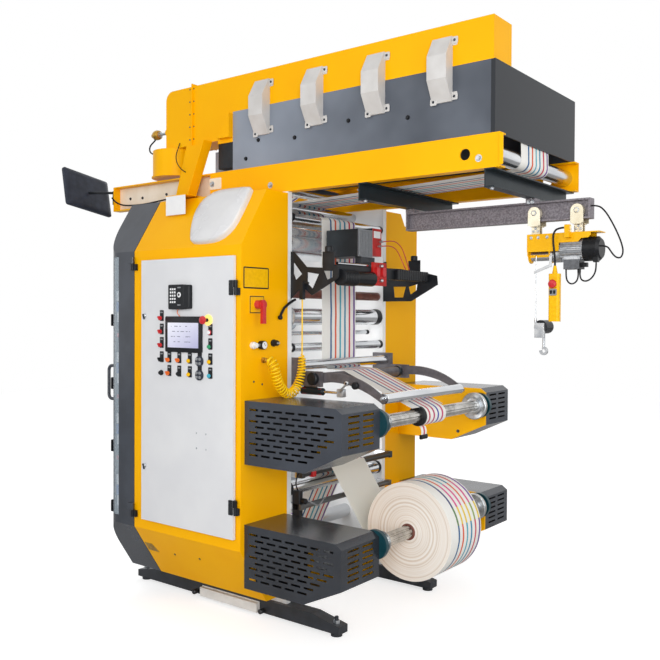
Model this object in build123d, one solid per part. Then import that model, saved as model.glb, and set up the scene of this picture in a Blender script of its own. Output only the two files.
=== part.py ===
from build123d import *
import math
import os

# Flexographic printing press, millimetres, +Z up.
# While it is built, X = 0 is the reel side face of the frame, Y = 0 its middle plane and Z = 0 the floor.
# The reels are on the +X side, the print decks on the -X side and the control door on the -Y side.

# Side frames
FRAME_GAP = 926.0
PLATE_T = 35.0
PLATE_TAIL = 227.0
PLATE_BOTTOM = 100.0
PLATE_TOP = 2448.0
PLATE_LAP = 7.0
DECK_NOTCH_LOW = 185.0
DECK_NOTCH_HIGH = 2415.0

# Side housings
CABINET_L = 873.0
CABINET_W = 379.0
CABINET_BOTTOM = 163.0
CABINET_TOP = 2438.0
BEVEL_LOW_Z = 482.0
BEVEL_HIGH_Z = 2122.0
BEVEL_TOP_IN = 200.0
BEVEL_BOTTOM_IN = 207.0
SHEET_T = 5.0
JUNCTION_BOX_L = 440.0
JUNCTION_BOX_W = 104.0
JUNCTION_BOX_LOW = 2016.0
JUNCTION_BOX_HIGH = 2370.0
JUNCTION_BOX_INSET = 60.0

# Moulded cover on the bevel, along X and up the slope
COVER_OUTLINE = [(-365, 18), (-232, 18), (-160, 35), (-110, 90), (-93, 160), (-93, 366), (-115, 388),
                 (-330, 392), (-410, 372), (-460, 320), (-472, 240), (-442, 130), (-395, 35)]
COVER_H = 42.0

# Control door
DOOR_STILE = 90.0
DOOR_X1 = -34.0
DOOR_LOW = 545.0
DOOR_HIGH = 2063.0
DOOR_T = 18.0
DOOR_GAP = 5.0
DOOR_LIP = 14.0
SILL_LIP = 16.0

# Controls on the door
PANEL_X = [-567.0, -268.0]
PANEL_Z = [1537.0, 1738.0]
PANEL_T = 9.0
KEYPAD_X = [-537.0, -364.0]
KEYPAD_Z = [1777.0, 1916.0]
BUTTON_OUT = 26.0
BUTTON_R = 17.0
STOP_BUTTON = (-264.0, 1718.0)
BUTTON_COLUMN_X = -620.0
BUTTON_COLUMN_ZS = [1727.0, 1650.0, 1573.0]
BUTTON_ROW_XS = [-620.0, -555.0, -472.0, -386.0, -307.0, -224.0]
BUTTON_ROW_ZS = [1491.0, 1415.0]
BUTTON_PAIR_ZS = [1651.0, 1573.0]

# Main switch on the reel-side face
SWITCH_Y = -760.0
SWITCH_Z = 1803.0
SWITCH_PLATE_W = 118.0
SWITCH_PLATE_H = 98.0
SWITCH_PLATE_T = 6.0
SWITCH_BODY_R = 24.0
SWITCH_BODY_X1 = 40.0
SWITCH_GRIP_R = 26.0
SWITCH_GRIP_X1 = 56.0
SWITCH_LEVER_X0 = 44.0
SWITCH_LEVER_W = 28.0
SWITCH_LEVER_LOW = 1700.0
SWITCH_LEVER_HIGH = 1816.0

# Fittings on the reel-side face
GAUGE_Z = 1583.0
GAUGE_Y = -724.0
GAUGE_R = 24.0
GAUGE_X1 = 34.0
REGULATOR_Y = -790.0
REGULATOR_R = 19.0
SOCKET_Y = -624.0
SOCKET_Z = 1592.0
SOCKET_R = 20.0
SOCKET_X1 = 40.0
OUTLET_Y = -705.0
OUTLET_Z = 1500.0
OUTLET_R = 17.0
OUTLET_X1 = 30.0

# Hinges
HINGE_R = 10.0
HINGE_PIN_R = 6.0
HINGE_FIT = 0.05
HINGE_HALF = 40.0
HINGE_LEAF = 44.0
HINGE_ARM = 18.0
GUARD_HINGE_ARM = 30.0
GUARD_HINGE_LEAF = 34.0
HINGE_END_GAP = 1.0
HINGE_STAND = 7.0
DOOR_HINGE_ZS = [718.0, 1892.0]
GUARD_HINGE_ZS = [585.0, 2048.0]
DOOR_HINGE_GAP = 11.0

# Deck guards, a pair of leaves
GUARD_L = 268.0
GUARD_T = 6.0
GUARD_GAP = 5.0
GUARD_CORNER_R = 110.0
GUARD_BAND = 144.0
GUARD_WINDOW_LOW = 530.0
GUARD_WINDOW_HIGH = 2095.0
GUARD_STILE = 60.0
GUARD_CORNER_STILE = 70.0
HANDLE_R = 10.0
HANDLE_OUT = 90.0
HANDLE_LOW = 1221.0
HANDLE_HIGH = 1428.0
HANDLE_Y = 800.0

# Feet
FOOT_X0 = -1275.0
FOOT_X1 = 390.0
FOOT_W = 80.0
FOOT_LOW = 20.0
FOOT_TAPER = 190.0
FOOT_TIP_H = 42.0
JACK_R = 11.0
JACK_PAD_R = 32.0
JACK_PAD_T = 12.0
JACK_INSET = 45.0
JACK_TOP = 96.0
FOOT_BAR_X0 = -662.0
FOOT_BAR_X1 = -190.0
FOOT_BAR_T = 24.0
FOOT_BAR_H = 54.0

# Cross ties between the side frames
TIE_R = 30.0
TIE_BACKS = [443.0, 443.0, 253.0]
TIE_ZS = [260.0, 2330.0, 1250.0]

# Tunnel over the press
RAIL_X0 = -627.0
RAIL_X1 = 1304.0
RAIL_H = 164.0
RAIL_T = 8.0
RAIL_FLANGE = 60.0
RAIL_HOLE_X = 1120.0
RAIL_HOLE_R = 28.0
RAIL_HOLE_DROP = 6.0
LEFT_RAIL_X0 = -1565.0
HOOD_X0 = -435.0
HOOD_X1 = 1278.0
HOOD_H = 347.0
HOOD_T = 6.0
ENTRY_X0 = -640.0
ENTRY_HALF_W = 440.0
ENTRY_H = 138.0
DUCT_X0 = -1029.0
DUCT_X1 = 1270.0
DUCT_W = 189.0
DUCT_H = 208.0
DUCT_DROP = 156.0
DUCT_SEAM_X = -781.0
DUCT_CORNER_R = 60.0
SEAM_T = 6.0
SEAM_OUT = 14.0
DRUM_R = 148.0
DRUM_X = -1040.0
DRUM_Y = -404.0
DRUM_H = 165.0
DRUM_RIM = 8.0
STUB_RISE = 136.0
STUB_L = 60.0
STUB_R = 12.0
KNOB_L = 36.0
KNOB_R = 26.0
KNOB_ROUND = 10.0
STRUT_T = 8.0
STRUT_TOP_X = [-830.0, -610.0]
STRUT_FOOT_X = [-940.0, -760.0]
STRUT_FOOT_DROP = 150.0
STRUT_FLANGE = 70.0
ELBOW_PLACES = [-194.0, 196.0, 602.0, 996.0]
ELBOW_W = 108.0
ELBOW_OUT = 66.0
ELBOW_LIP = 10.0
ELBOW_KNEE_RISE = 104.0
ELBOW_KNEE_FALL = 97.0
ELBOW_LUG_W = 26.0
ELBOW_LUG_H = 30.0
ELBOW_T = 4.0
ELBOW_LOW = 2790.0
ELBOW_H = 315.0

# Monitor on the rail's end
MONITOR_W = 408.0
MONITOR_H = 268.0
MONITOR_T = 34.0
MONITOR_BACK = 171.0
MONITOR_SIDE = 95.0
MONITOR_Z = 2588.0
MONITOR_POST_X = 26.0
MONITOR_POST_R = 14.0
MONITOR_POST_LOW = 2500.0
MONITOR_POST_HIGH = 2570.0
MONITOR_ARM_T = 12.0
MONITOR_ARM_LOW = 2571.0
MONITOR_ARM_HIGH = 2590.0

# Hoist runway
CHANNEL_H = 92.0
CHANNEL_W = 52.0
CHANNEL_T = 7.0
CHANNEL_PLACES = [515.0, 1250.0]
BEAM_X0 = 490.0
BEAM_X1 = 1563.0
BEAM_SPACER = 20.0
BEAM_H = 102.0
BEAM_W = 62.0
BEAM_WEB = 6.0
BEAM_FLANGE = 9.0
STOP_T = 10.0

# Hoist
TROLLEY_X = [1274.0, 1500.0]
WHEEL_R = 33.0
WHEEL_GAP = 0.3
TROLLEY_T = 5.0
TROLLEY_W = 66.0
TROLLEY_DROP = 30.0
TROLLEY_NECK_W = 44.0
TROLLEY_NECK_Y = 12.0
AXLE_R = 9.0
AXLE_OUT = 8.0
HOIST_X0 = 1239.0
HOIST_X1 = 1573.0
HOIST_TOP = 2168.0
HOIST_PLATE_T = 5.0
HOIST_HALF_W = 45.0
HOIST_SKIRT = 91.0
DRUM_Z = 2056.0
CABLE_DRUM_R = 24.0
DRUM_END_R = 36.0
DRUM_END_X = [1241.0, 1357.0]
LEVER_LOW = 1966.0
LEVER_RISE = 34.0
LEVER_T = 12.0
LEVER_POST_W = 14.0
GEARBOX_X1 = 1414.0
GEARBOX_R = 39.0
GEARBOX_RIM = 34.0
MOTOR_Z = 2083.0
MOTOR_R = 50.0
MOTOR_X1 = 1530.0
MOTOR_FINS = 14
FIN_H = 9.0
COWL_R = 61.0
COWL_X1 = 1615.0
COWL_CHAMFER = 14.0
BOX_X0 = 1431.0
BOX_X1 = 1515.0
BOX_HALF_W = 34.0
BOX_LOW = 1984.0
BOX_HIGH = 2048.0
PLUG_L = 28.0
PLUG_HALF_W = 12.0
PLUG_LOW = 1994.0
PLUG_HIGH = 2016.0
GLAND_X = 1500.0
GLAND_R = 9.0
GLAND_H = 18.0
CLAMP_X0 = 1452.0
CLAMP_X1 = 1476.0
CLAMP_LOW = 2140.0
CLAMP_HIGH = 2204.0
COWL_BOSS_X0 = 1585.0
COWL_BOSS_X1 = 1609.0
COWL_BOSS_Y0 = -42.0
COWL_BOSS_Y1 = -18.0
COWL_BOSS_LOW = 2014.0
ROPE_X = 1282.0
ROPE_R = 2.5
ROPE_SOCKET_R = 6.0
ROPE_SOCKET_L = 45.0
HOOK_TOP = 1735.0
HOOK_BLOCK_X = 1312.0
HOOK_BLOCK_Y = 10.0
HOOK_BLOCK_Z = 1692.0
HOOK_BLOCK_R = 35.0
HOOK_BLOCK_T = 88.0
HOOK_PLATE_W = 50.0
HOOK_PLATE_T = 18.0
HOOK_PLATE_LOW = 1636.0
HOOK_PLATE_HIGH = 1712.0
HOOK_Z = 1567.0
HOOK_R = 22.0
HOOK_EYE_R = 10.0
HOOK_T = 14.0
HOOK_NECK_R = 7.0
PENDANT_X = 1401.0
PENDANT_Y = -68.0
PENDANT_LOW = 1720.0
PENDANT_HIGH = 1961.0
PENDANT_BOOT_H = 40.0
PENDANT_W = 56.0
PENDANT_D = 40.0
CABLE_R = 5.0

# Air hose
GUN_X = 100.5
GUN_Y = -490.0
GUN_LOW = 1835.0
GUN_HALF = 12.0
GUN_H = 100.0
GUN_HOOK_HALF = 8.0
GUN_HOOK_RISE = 80.0
GUN_HOOK_H = 16.0
NOZZLE_RISE = 92.0
NOZZLE_L = 46.0
NOZZLE_R = 6.0
HOSE_R = 4.0
COIL_R = 17.0

# Reel stands
ARM_T = 16.0
ARM_NEAR_Y = -520.0
ARM_FAR_Y = 659.0
REEL_GUARD_W = 312.0
REEL_GUARD_L = 649.0
REEL_GUARD_CHAMFER_X = 37.0
REEL_GUARD_CHAMFER_Z = 26.0
REEL_GUARD_T = 4.0
REEL_GUARD_END_H = 231.0
REEL_GUARD_H = 342.0
REEL_GUARD_FLAT = 410.0
UPPER_GUARD_TOP = 1289.0
LOWER_GUARD_TOP = 624.0
SLOT_L = 62.0
SLOT_H = 11.0
SLOT_PITCH_X = 84.0
SLOT_PITCH_Z = 30.0
SLOT_MARGIN = 34.0
END_SLOT_L = 96.0
END_SLOT_PITCH = 126.0

# Reel shafts
SHAFT_BACK = 32.0
UNWIND_Z = 552.0
REWIND_Z = 1185.0
SHAFT_R = 37.0
SHAFT_FLUTES = 8
FLUTE_R = 7.0
JOURNAL_R = 20.0
SHAFT_FIT = 0.06
COLLAR_R = 78.0
COLLAR_T = 24.0
HUB_R = 50.0
HUB_T = 40.0
FLANGE_R = 84.0
FLANGE_T = 16.0
RUN_GAP = 5.0
WEB_Y0 = -190.0
WEB_Y1 = 150.0
ROLL_R = 272.0
CORE_R = 46.0
REEL_R = 55.0
REEL_Y0 = -84.0
REEL_Y1 = 126.0

# Swing arms with the lay-on roller
PIVOT_X = 165.0
PIVOT_Z = 1393.0
PIVOT_R = 30.0
LAYON_X = 602.0
LAYON_Z = 1304.0
LAYON_R = 28.0
SWING_Y = 425.0
SWING_T = 14.0
SWING_W = 46.0
SWING_RISE = 42.0
PIVOT_BLOCK_BACK = 60.0
PIVOT_BLOCK_SIDE = 45.0
PIVOT_BLOCK_RISE = 40.0

# Rollers between the frames and the paper
ROLLER_X = -45.0
WEB_T = 0.6
WEB_GAP = 0.3
GUIDE_ROLLER = (-25.0, 2310.0, 25.0)
LAST_ROLLER = (-21.0, 1560.0, 26.0)
TURN_ROLLER = (36.2, 1460.0, 30.0)
RETURN_ROLLER = (-250.0, 2405.0, 30.0)
COOLING_DRUM = (-210.0, 2185.0, 98.0)
SMALL_ROLLER = (-120.0, 1639.0, 14.0)
SILVER_ROLLER = (-45.0, 745.0, 42.0)
LOW_ROLLER = (-300.0, 420.0, 45.0)
TOP_DECK_ROLLER_BACK = 53.0
TOP_DECK_ROLLER_Z = 2335.0
TOP_DECK_ROLLER_R = 30.0
TUNNEL_IN_ROLLER = (-330.0, 2535.0, 40.0)
TUNNEL_END_ROLLER = (1225.0, 2530.0, 45.0)
TUNNEL_TOP_ROLLER = (1218.0, 2780.0, 45.0)
SENSOR_ROLLER = (62.0, 842.0, 20.0)
LOW_BAR = (60.0, 656.0, 16.0)
LUG_T = 30.0
LUG_BACK = 40.0
NIP_ROLLER_Z = 1873.0
MAIN_ROLLER_Z = 1739.0
NIP_ROLLER_R = 27.0
MAIN_ROLLER_R = 50.0
ROLLER_JOURNAL = 12.0
JOURNAL_SEAT = 12.0

# Inspection camera
BRACKET_T = 6.0
BRACKET_OUT = 10.0
NEAR_BRACKET = [(0, 1840), (0, 2109), (24, 2107), (116, 2018), (230, 2010), (229, 2098), (310, 2094),
                (310, 2014), (340, 2013), (341, 1951), (155, 1858), (84, 1909), (19, 1855)]
NEAR_BRACKET_HOLES = [[(20, 2052), (84, 1979), (38, 1945), (20, 1985)],
                      [(122, 1988), (205, 1975), (160, 1895), (122, 1925)],
                      [(238, 1992), (300, 1990), (300, 1955), (262, 1942)]]
FAR_BRACKET = [(0, 1841), (0, 2101), (23, 2101), (24, 2060), (135, 2051), (195, 2040), (195, 2100),
               (282, 2103), (282, 2030), (406, 2000), (412, 1944), (216, 1841)]
FAR_BRACKET_HOLES = [[(80, 1937), (176, 1935), (156, 1866), (88, 1867)],
                     [(196, 1934), (263, 1950), (257, 1911), (210, 1883)]]
TRAVERSE_X0 = 296.0
TRAVERSE_X1 = 330.0
TRAVERSE_LOW = 1962.0
TRAVERSE_HIGH = 2024.0
CAMERA_X0 = 29.0
CAMERA_X1 = 260.0
CAMERA_Y0 = -179.0
CAMERA_Y1 = -35.0
CAMERA_LOW = 2090.0
CAMERA_HIGH = 2250.0
LAMP_Y1 = 59.0
LAMP_HIGH = 2264.0
CARRIAGE_X0 = 215.0
CARRIAGE_X1 = 345.0
CARRIAGE_Y0 = -146.0
CARRIAGE_Y1 = -10.0
CARRIAGE_LOW = 2024.0
MOTOR_TUBE_X = 330.0
MOTOR_TUBE_Z = 1956.0
MOTOR_TUBE_R = 43.0
MOTOR_TUBE_Y0 = -444.0
MOTOR_TUBE_Y1 = -146.0
SLIDER_LOW = 1920.0

# Print decks
DECK_LOW_Z = 591.0
DECK_PITCH = 376.0
DECK_COUNT = 4
IMPRESSION_R = 80.0
PLATE_CYL_R = 60.0
ANILOX_R = 50.0
NIP = 1.4
IMPRESSION_BACK = 73.0
DECK_END_GAP = 12.0
TRAY_T = 3.0


def block(x0, x1, y0, y1, z0, z1):
    """A box between two limits on each axis."""
    centre = ((x0 + x1) / 2, (y0 + y1) / 2, (z0 + z1) / 2)
    return Pos(*centre) * Box(abs(x1 - x0), abs(y1 - y0), abs(z1 - z0))


def bar_y(x, z, y0, y1, radius):
    """A round bar along Y."""
    return Pos(x, (y0 + y1) / 2, z) * Rot(90, 0, 0) * Cylinder(radius, abs(y1 - y0))


def bar_x(y, z, x0, x1, radius):
    """A round bar along X."""
    return Pos((x0 + x1) / 2, y, z) * Rot(0, 90, 0) * Cylinder(radius, abs(x1 - x0))


def bar_z(x, y, z0, z1, radius):
    """A round bar along Z."""
    return Pos(x, y, (z0 + z1) / 2) * Cylinder(radius, abs(z1 - z0))


def plate_xz(points, y0, y1):
    """An outline of (x, z) points carried along Y."""
    line = Polyline(*[(x, y0, z) for x, z in points], close=True)
    return extrude(make_face(line), amount=y1 - y0, dir=(0, 1, 0))


def plate_yz(points, x0, x1):
    """An outline of (y, z) points carried along X."""
    line = Polyline(*[(x0, y, z) for y, z in points], close=True)
    return extrude(make_face(line), amount=x1 - x0, dir=(1, 0, 0))


def plate_xy(points, z0, z1):
    """An outline of (x, y) points carried along Z."""
    line = Polyline(*[(x, y, z0) for x, y in points], close=True)
    return extrude(make_face(line), amount=z1 - z0, dir=(0, 0, 1))


def mirrored(solid):
    """The same piece on the other side of the middle plane."""
    return mirror(solid, about=Plane.XZ)


FRAME_IN = FRAME_GAP / 2
FRAME_OUT = FRAME_IN + PLATE_T
CABINET_OUT = FRAME_OUT + CABINET_W
DOOR_BACK = -(CABINET_OUT + DOOR_GAP)
DOOR_FACE = DOOR_BACK - DOOR_T
HINGE_Y = -(CABINET_OUT + HINGE_STAND + HINGE_R)
GUARD_HINGE_X = -CABINET_L
PLATE_L = CABINET_L + PLATE_TAIL
DECK_NOTCH_X = -(CABINET_L - PLATE_LAP)
IMPRESSION_X = -(CABINET_L - IMPRESSION_BACK)
DOOR_X0 = -(CABINET_L - DOOR_STILE)
DOOR_HINGE_X = DOOR_X1 + DOOR_HINGE_GAP
ELBOW_HIGH = ELBOW_LOW + ELBOW_H
TOP_DECK_ROLLER = (-(CABINET_L - TOP_DECK_ROLLER_BACK), TOP_DECK_ROLLER_Z, TOP_DECK_ROLLER_R)
SHAFT_X = REEL_GUARD_L - SHAFT_BACK
RAIL_LOW = PLATE_TOP
RAIL_HIGH = RAIL_LOW + RAIL_H
HOOD_TOP = RAIL_HIGH + HOOD_H
DUCT_TOP = HOOD_TOP + DUCT_H
BEAM_TOP = RAIL_LOW - CHANNEL_H - BEAM_SPACER
BEAM_LOW = BEAM_TOP - BEAM_H


def frame_plates():
    """Two thick side plates, stepped at the deck end so that the guards close over them."""
    outline = [(0, PLATE_BOTTOM), (0, PLATE_TOP), (DECK_NOTCH_X, PLATE_TOP),
               (DECK_NOTCH_X, DECK_NOTCH_HIGH), (-PLATE_L, DECK_NOTCH_HIGH),
               (-PLATE_L, DECK_NOTCH_LOW), (DECK_NOTCH_X, DECK_NOTCH_LOW),
               (DECK_NOTCH_X, PLATE_BOTTOM)]
    near = plate_xz(outline, -FRAME_OUT, -FRAME_IN)
    for z in (NIP_ROLLER_Z, MAIN_ROLLER_Z):
        near -= bar_y(ROLLER_X, z, -FRAME_IN - JOURNAL_SEAT - 1, -FRAME_IN + 1, ROLLER_JOURNAL + SHAFT_FIT)
    return [near, mirrored(near)]


def frame_ties():
    """Round tie bars that hold the two side plates apart."""
    return [bar_y(-(CABINET_L - back), z, -FRAME_IN, FRAME_IN, TIE_R) for back, z in zip(TIE_BACKS, TIE_ZS)]


def cabinet_outline(inset):
    """The housing's bevelled section in Y and Z on the near side, moved inwards by the inset."""
    outer = [(-FRAME_OUT, CABINET_BOTTOM), (-(CABINET_OUT - BEVEL_BOTTOM_IN), CABINET_BOTTOM),
             (-CABINET_OUT, BEVEL_LOW_Z), (-CABINET_OUT, BEVEL_HIGH_Z),
             (-(CABINET_OUT - BEVEL_TOP_IN), CABINET_TOP), (-FRAME_OUT, CABINET_TOP)]
    face = make_face(Polyline(*[(y, z) for y, z in outer], close=True))
    if inset:
        face = offset(face, amount=-inset, kind=Kind.INTERSECTION)
    return face


def cabinet_block(x0, x1, inset):
    """The bevelled section carried along X."""
    plane = Plane(origin=(x0, 0, 0), x_dir=(0, 1, 0), z_dir=(1, 0, 0))
    return extrude(plane * cabinet_outline(inset), amount=x1 - x0)


def near_cabinet():
    """The hollow sheet housing that the control door opens."""
    shell = cabinet_block(-CABINET_L, 0, 0)
    shell -= cabinet_block(-CABINET_L + SHEET_T, -SHEET_T, SHEET_T)
    opening = block(DOOR_X0 + SILL_LIP, DOOR_X1 - SILL_LIP, -CABINET_OUT - 10, -CABINET_OUT + 2 * SHEET_T,
                    DOOR_LOW + SILL_LIP, DOOR_HIGH - SILL_LIP)
    return [shell - opening]


def far_cabinet():
    """The closed gear housing with the junction box on its outer face."""
    body = mirrored(cabinet_block(-CABINET_L, 0, 0))
    junction = block(-JUNCTION_BOX_INSET - JUNCTION_BOX_L, -JUNCTION_BOX_INSET,
                     CABINET_OUT - BEVEL_TOP_IN, CABINET_OUT + JUNCTION_BOX_W,
                     JUNCTION_BOX_LOW, JUNCTION_BOX_HIGH)
    return [body + junction]


def outriggers():
    """A floor beam under each side plate with tapered ends and jack screws."""
    high = PLATE_BOTTOM
    tip = FOOT_LOW + FOOT_TIP_H
    outline = [(FOOT_X0, FOOT_LOW), (FOOT_X0, tip), (FOOT_X0 + FOOT_TAPER, high),
               (FOOT_X1 - FOOT_TAPER, high), (FOOT_X1, tip), (FOOT_X1, FOOT_LOW)]
    middle = (FRAME_IN + FRAME_OUT) / 2
    near = plate_xz(outline, -middle - FOOT_W / 2, -middle + FOOT_W / 2)
    for x in (FOOT_X0 + JACK_INSET, FOOT_X1 - JACK_INSET):
        near += bar_z(x, -middle, JACK_PAD_T, JACK_TOP, JACK_R)
        near += bar_z(x, -middle, 0, JACK_PAD_T, JACK_PAD_R)
    near += block(FOOT_BAR_X0, FOOT_BAR_X1, -middle - FOOT_W / 2 - FOOT_BAR_T, -middle - FOOT_W / 2,
                  FOOT_LOW, FOOT_LOW + FOOT_BAR_H)
    return [near, mirrored(near)]


def rail_channel(x0, x1, inward):
    """A channel rail along X on the near side, with its flanges to the inside or to the outside."""
    face_y = -FRAME_OUT
    if inward:
        outer = block(x0, x1, face_y, face_y + RAIL_FLANGE, RAIL_LOW, RAIL_HIGH)
        hollow = block(x0 - 1, x1 + 1, face_y + RAIL_T, face_y + RAIL_FLANGE + 1,
                       RAIL_LOW + RAIL_T, RAIL_HIGH - RAIL_T)
    else:
        outer = block(x0, x1, face_y, face_y + RAIL_FLANGE, RAIL_LOW, RAIL_HIGH)
        hollow = block(x0 - 1, x1 + 1, face_y - 1, face_y + RAIL_FLANGE - RAIL_T,
                       RAIL_LOW + RAIL_T, RAIL_HIGH - RAIL_T)
    return outer - hollow


def tunnel_rails():
    """The two channel rails that carry the drying tunnel out over the reels."""
    near = rail_channel(RAIL_X0, RAIL_X1, True)
    hole_z = (RAIL_LOW + RAIL_HIGH) / 2 - RAIL_HOLE_DROP
    near -= bar_y(RAIL_HOLE_X, hole_z, -FRAME_OUT - 1, -FRAME_OUT + RAIL_T + 1, RAIL_HOLE_R)
    return [near, mirrored(near)]


def left_rails():
    """The rails' extension past the print decks, with an end plate."""
    near = rail_channel(LEFT_RAIL_X0 + RAIL_T, RAIL_X0, False)
    near += block(LEFT_RAIL_X0, LEFT_RAIL_X0 + RAIL_T, -FRAME_OUT, -FRAME_OUT + RAIL_FLANGE,
                  RAIL_LOW, RAIL_HIGH)
    return [near, mirrored(near)]


def dryer_hood():
    """The dark tunnel hood and its lower entry, sheet boxes that are open below."""
    hood = block(HOOD_X0, HOOD_X1, -FRAME_OUT, FRAME_OUT, RAIL_HIGH, HOOD_TOP)
    hood -= block(HOOD_X0 + HOOD_T, HOOD_X1 - HOOD_T, -FRAME_OUT + HOOD_T, FRAME_OUT - HOOD_T,
                  RAIL_HIGH - 1, HOOD_TOP - HOOD_T)
    entry = block(ENTRY_X0, HOOD_X0, -ENTRY_HALF_W, ENTRY_HALF_W, RAIL_HIGH, RAIL_HIGH + ENTRY_H)
    entry -= block(ENTRY_X0 + HOOD_T, HOOD_X0 - HOOD_T, -ENTRY_HALF_W + HOOD_T, ENTRY_HALF_W - HOOD_T,
                   RAIL_HIGH - 1, RAIL_HIGH + ENTRY_H - HOOD_T)
    return [hood + entry]


def hot_air_duct():
    """The yellow air duct along the hood, deeper past the hood's end, with a seam flange."""
    y0 = -FRAME_OUT
    y1 = y0 + DUCT_W
    low = HOOD_TOP - DUCT_DROP
    outline = [(DUCT_X0, low), (HOOD_X0, low), (HOOD_X0, HOOD_TOP), (DUCT_X1, HOOD_TOP),
               (DUCT_X1, DUCT_TOP), (DUCT_X0, DUCT_TOP)]
    duct = plate_xz(outline, y0, y1)
    corner = duct.edges().filter_by(Axis.Y).group_by(Axis.Z)[-1].sort_by(Axis.X)[0]
    duct = fillet(corner, DUCT_CORNER_R)
    duct += block(DUCT_SEAM_X, DUCT_SEAM_X + SEAM_T, y0 - SEAM_OUT, y1 + SEAM_OUT, low, DUCT_TOP + SEAM_OUT)
    return [duct]


def air_elbows():
    """Folded air elbows that lead hot air from the duct into the hood."""
    y = -FRAME_OUT
    elbows = []
    for x in ELBOW_PLACES:
        side = x + ELBOW_W / 2
        outer = [(y, ELBOW_LOW), (y - ELBOW_LIP, ELBOW_LOW), (y - ELBOW_OUT, ELBOW_LOW + ELBOW_KNEE_RISE),
                 (y - ELBOW_OUT, ELBOW_HIGH - ELBOW_KNEE_FALL), (y - ELBOW_LIP, ELBOW_HIGH), (y, ELBOW_HIGH)]
        body = plate_yz(outer, x - ELBOW_W / 2, side)
        for z in (ELBOW_LOW + ELBOW_LUG_H, ELBOW_HIGH - ELBOW_LUG_H):
            body += block(side, side + ELBOW_LUG_W, y - ELBOW_T, y, z - ELBOW_LUG_H / 2, z + ELBOW_LUG_H / 2)
        elbows.append(body)
    return elbows


def blower_drum():
    """The blower's round housing under the duct's closed end."""
    top = HOOD_TOP - DUCT_DROP
    drum = bar_z(DRUM_X, DRUM_Y, top - DRUM_H, top, DRUM_R)
    drum += bar_z(DRUM_X, DRUM_Y, top - DRUM_H - DRUM_RIM, top - DRUM_H, DRUM_R + DRUM_RIM)
    stub = bar_x(DRUM_Y, top + STUB_RISE, DUCT_X0 - STUB_L, DUCT_X0, STUB_R)
    head = bar_x(DRUM_Y, top + STUB_RISE, DUCT_X0 - STUB_L - KNOB_L, DUCT_X0 - STUB_L, KNOB_R)
    head = fillet(head.edges().filter_by(GeomType.CIRCLE), KNOB_ROUND)
    return [drum, stub + head]


def duct_struts():
    """The folded strut that carries the duct's end down to the near rail."""
    y1 = -FRAME_OUT
    low = HOOD_TOP - DUCT_DROP
    foot = RAIL_HIGH - STRUT_FOOT_DROP
    top_x0, top_x1 = STRUT_TOP_X
    foot_x0, foot_x1 = STRUT_FOOT_X
    face = [(top_x0, low), (top_x1, low), (foot_x1, foot), (foot_x0, foot)]
    strut = plate_xz(face, y1 - STRUT_T, y1)
    flange = [(top_x1 - STRUT_T, low), (top_x1, low), (foot_x1, foot), (foot_x1 - STRUT_T, foot)]
    strut += plate_xz(flange, y1 - STRUT_FLANGE, y1 - STRUT_T)
    return [strut]


def cross_channels():
    """Two channels across the rails from which the hoist beam hangs."""
    channels = []
    for x in CHANNEL_PLACES:
        low = RAIL_LOW - CHANNEL_H
        channel = block(x - CHANNEL_W / 2, x + CHANNEL_W / 2, -FRAME_OUT, FRAME_OUT, low, RAIL_LOW)
        channel -= block(x - CHANNEL_W / 2 + CHANNEL_T, x + CHANNEL_W / 2 + 1, -FRAME_OUT - 1, FRAME_OUT + 1,
                         low + CHANNEL_T, RAIL_LOW - CHANNEL_T)
        channels.append(channel)
    return channels


def hoist_beam():
    """The rolled I-beam that the hoist runs on, with its spacers and a stop plate at each end."""
    half = BEAM_W / 2
    beam = block(BEAM_X0, BEAM_X1, -BEAM_WEB / 2, BEAM_WEB / 2, BEAM_LOW, BEAM_TOP)
    beam += block(BEAM_X0, BEAM_X1, -half, half, BEAM_TOP - BEAM_FLANGE, BEAM_TOP)
    beam += block(BEAM_X0, BEAM_X1, -half, half, BEAM_LOW, BEAM_LOW + BEAM_FLANGE)
    for x in (BEAM_X0, BEAM_X1 - STOP_T):
        beam += block(x, x + STOP_T, -half, half, BEAM_LOW, BEAM_TOP)
    for x in CHANNEL_PLACES:
        beam += block(x - CHANNEL_W / 2, x + CHANNEL_W / 2, -half, half, BEAM_TOP, BEAM_TOP + BEAM_SPACER)
    return [beam]


def trolley_plate(x, side, wheel_z):
    """One side plate of a trolley: a rounded head beside the beam and a cranked neck to the frame."""
    y0 = side * (BEAM_W / 2 + RUN_GAP)
    y1 = y0 + side * TROLLEY_T
    low = wheel_z - WHEEL_R - TROLLEY_DROP
    head = block(x - TROLLEY_W / 2, x + TROLLEY_W / 2, y0, y1, low, wheel_z)
    head += bar_y(x, wheel_z, y0, y1, TROLLEY_W / 2)
    neck_x0, neck_x1 = x - TROLLEY_NECK_W / 2, x + TROLLEY_NECK_W / 2
    neck_y = side * TROLLEY_NECK_Y
    neck = block(neck_x0, neck_x1, neck_y, y1, low - TROLLEY_T, low)
    neck += block(neck_x0, neck_x1, neck_y, neck_y + side * TROLLEY_T, HOIST_TOP, low)
    wheel = bar_y(x, wheel_z, side * (BEAM_WEB / 2 + RUN_GAP), y0, WHEEL_R)
    axle = bar_y(x, wheel_z, y1, y1 + side * AXLE_OUT, AXLE_R)
    return head + neck + wheel + axle


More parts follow.
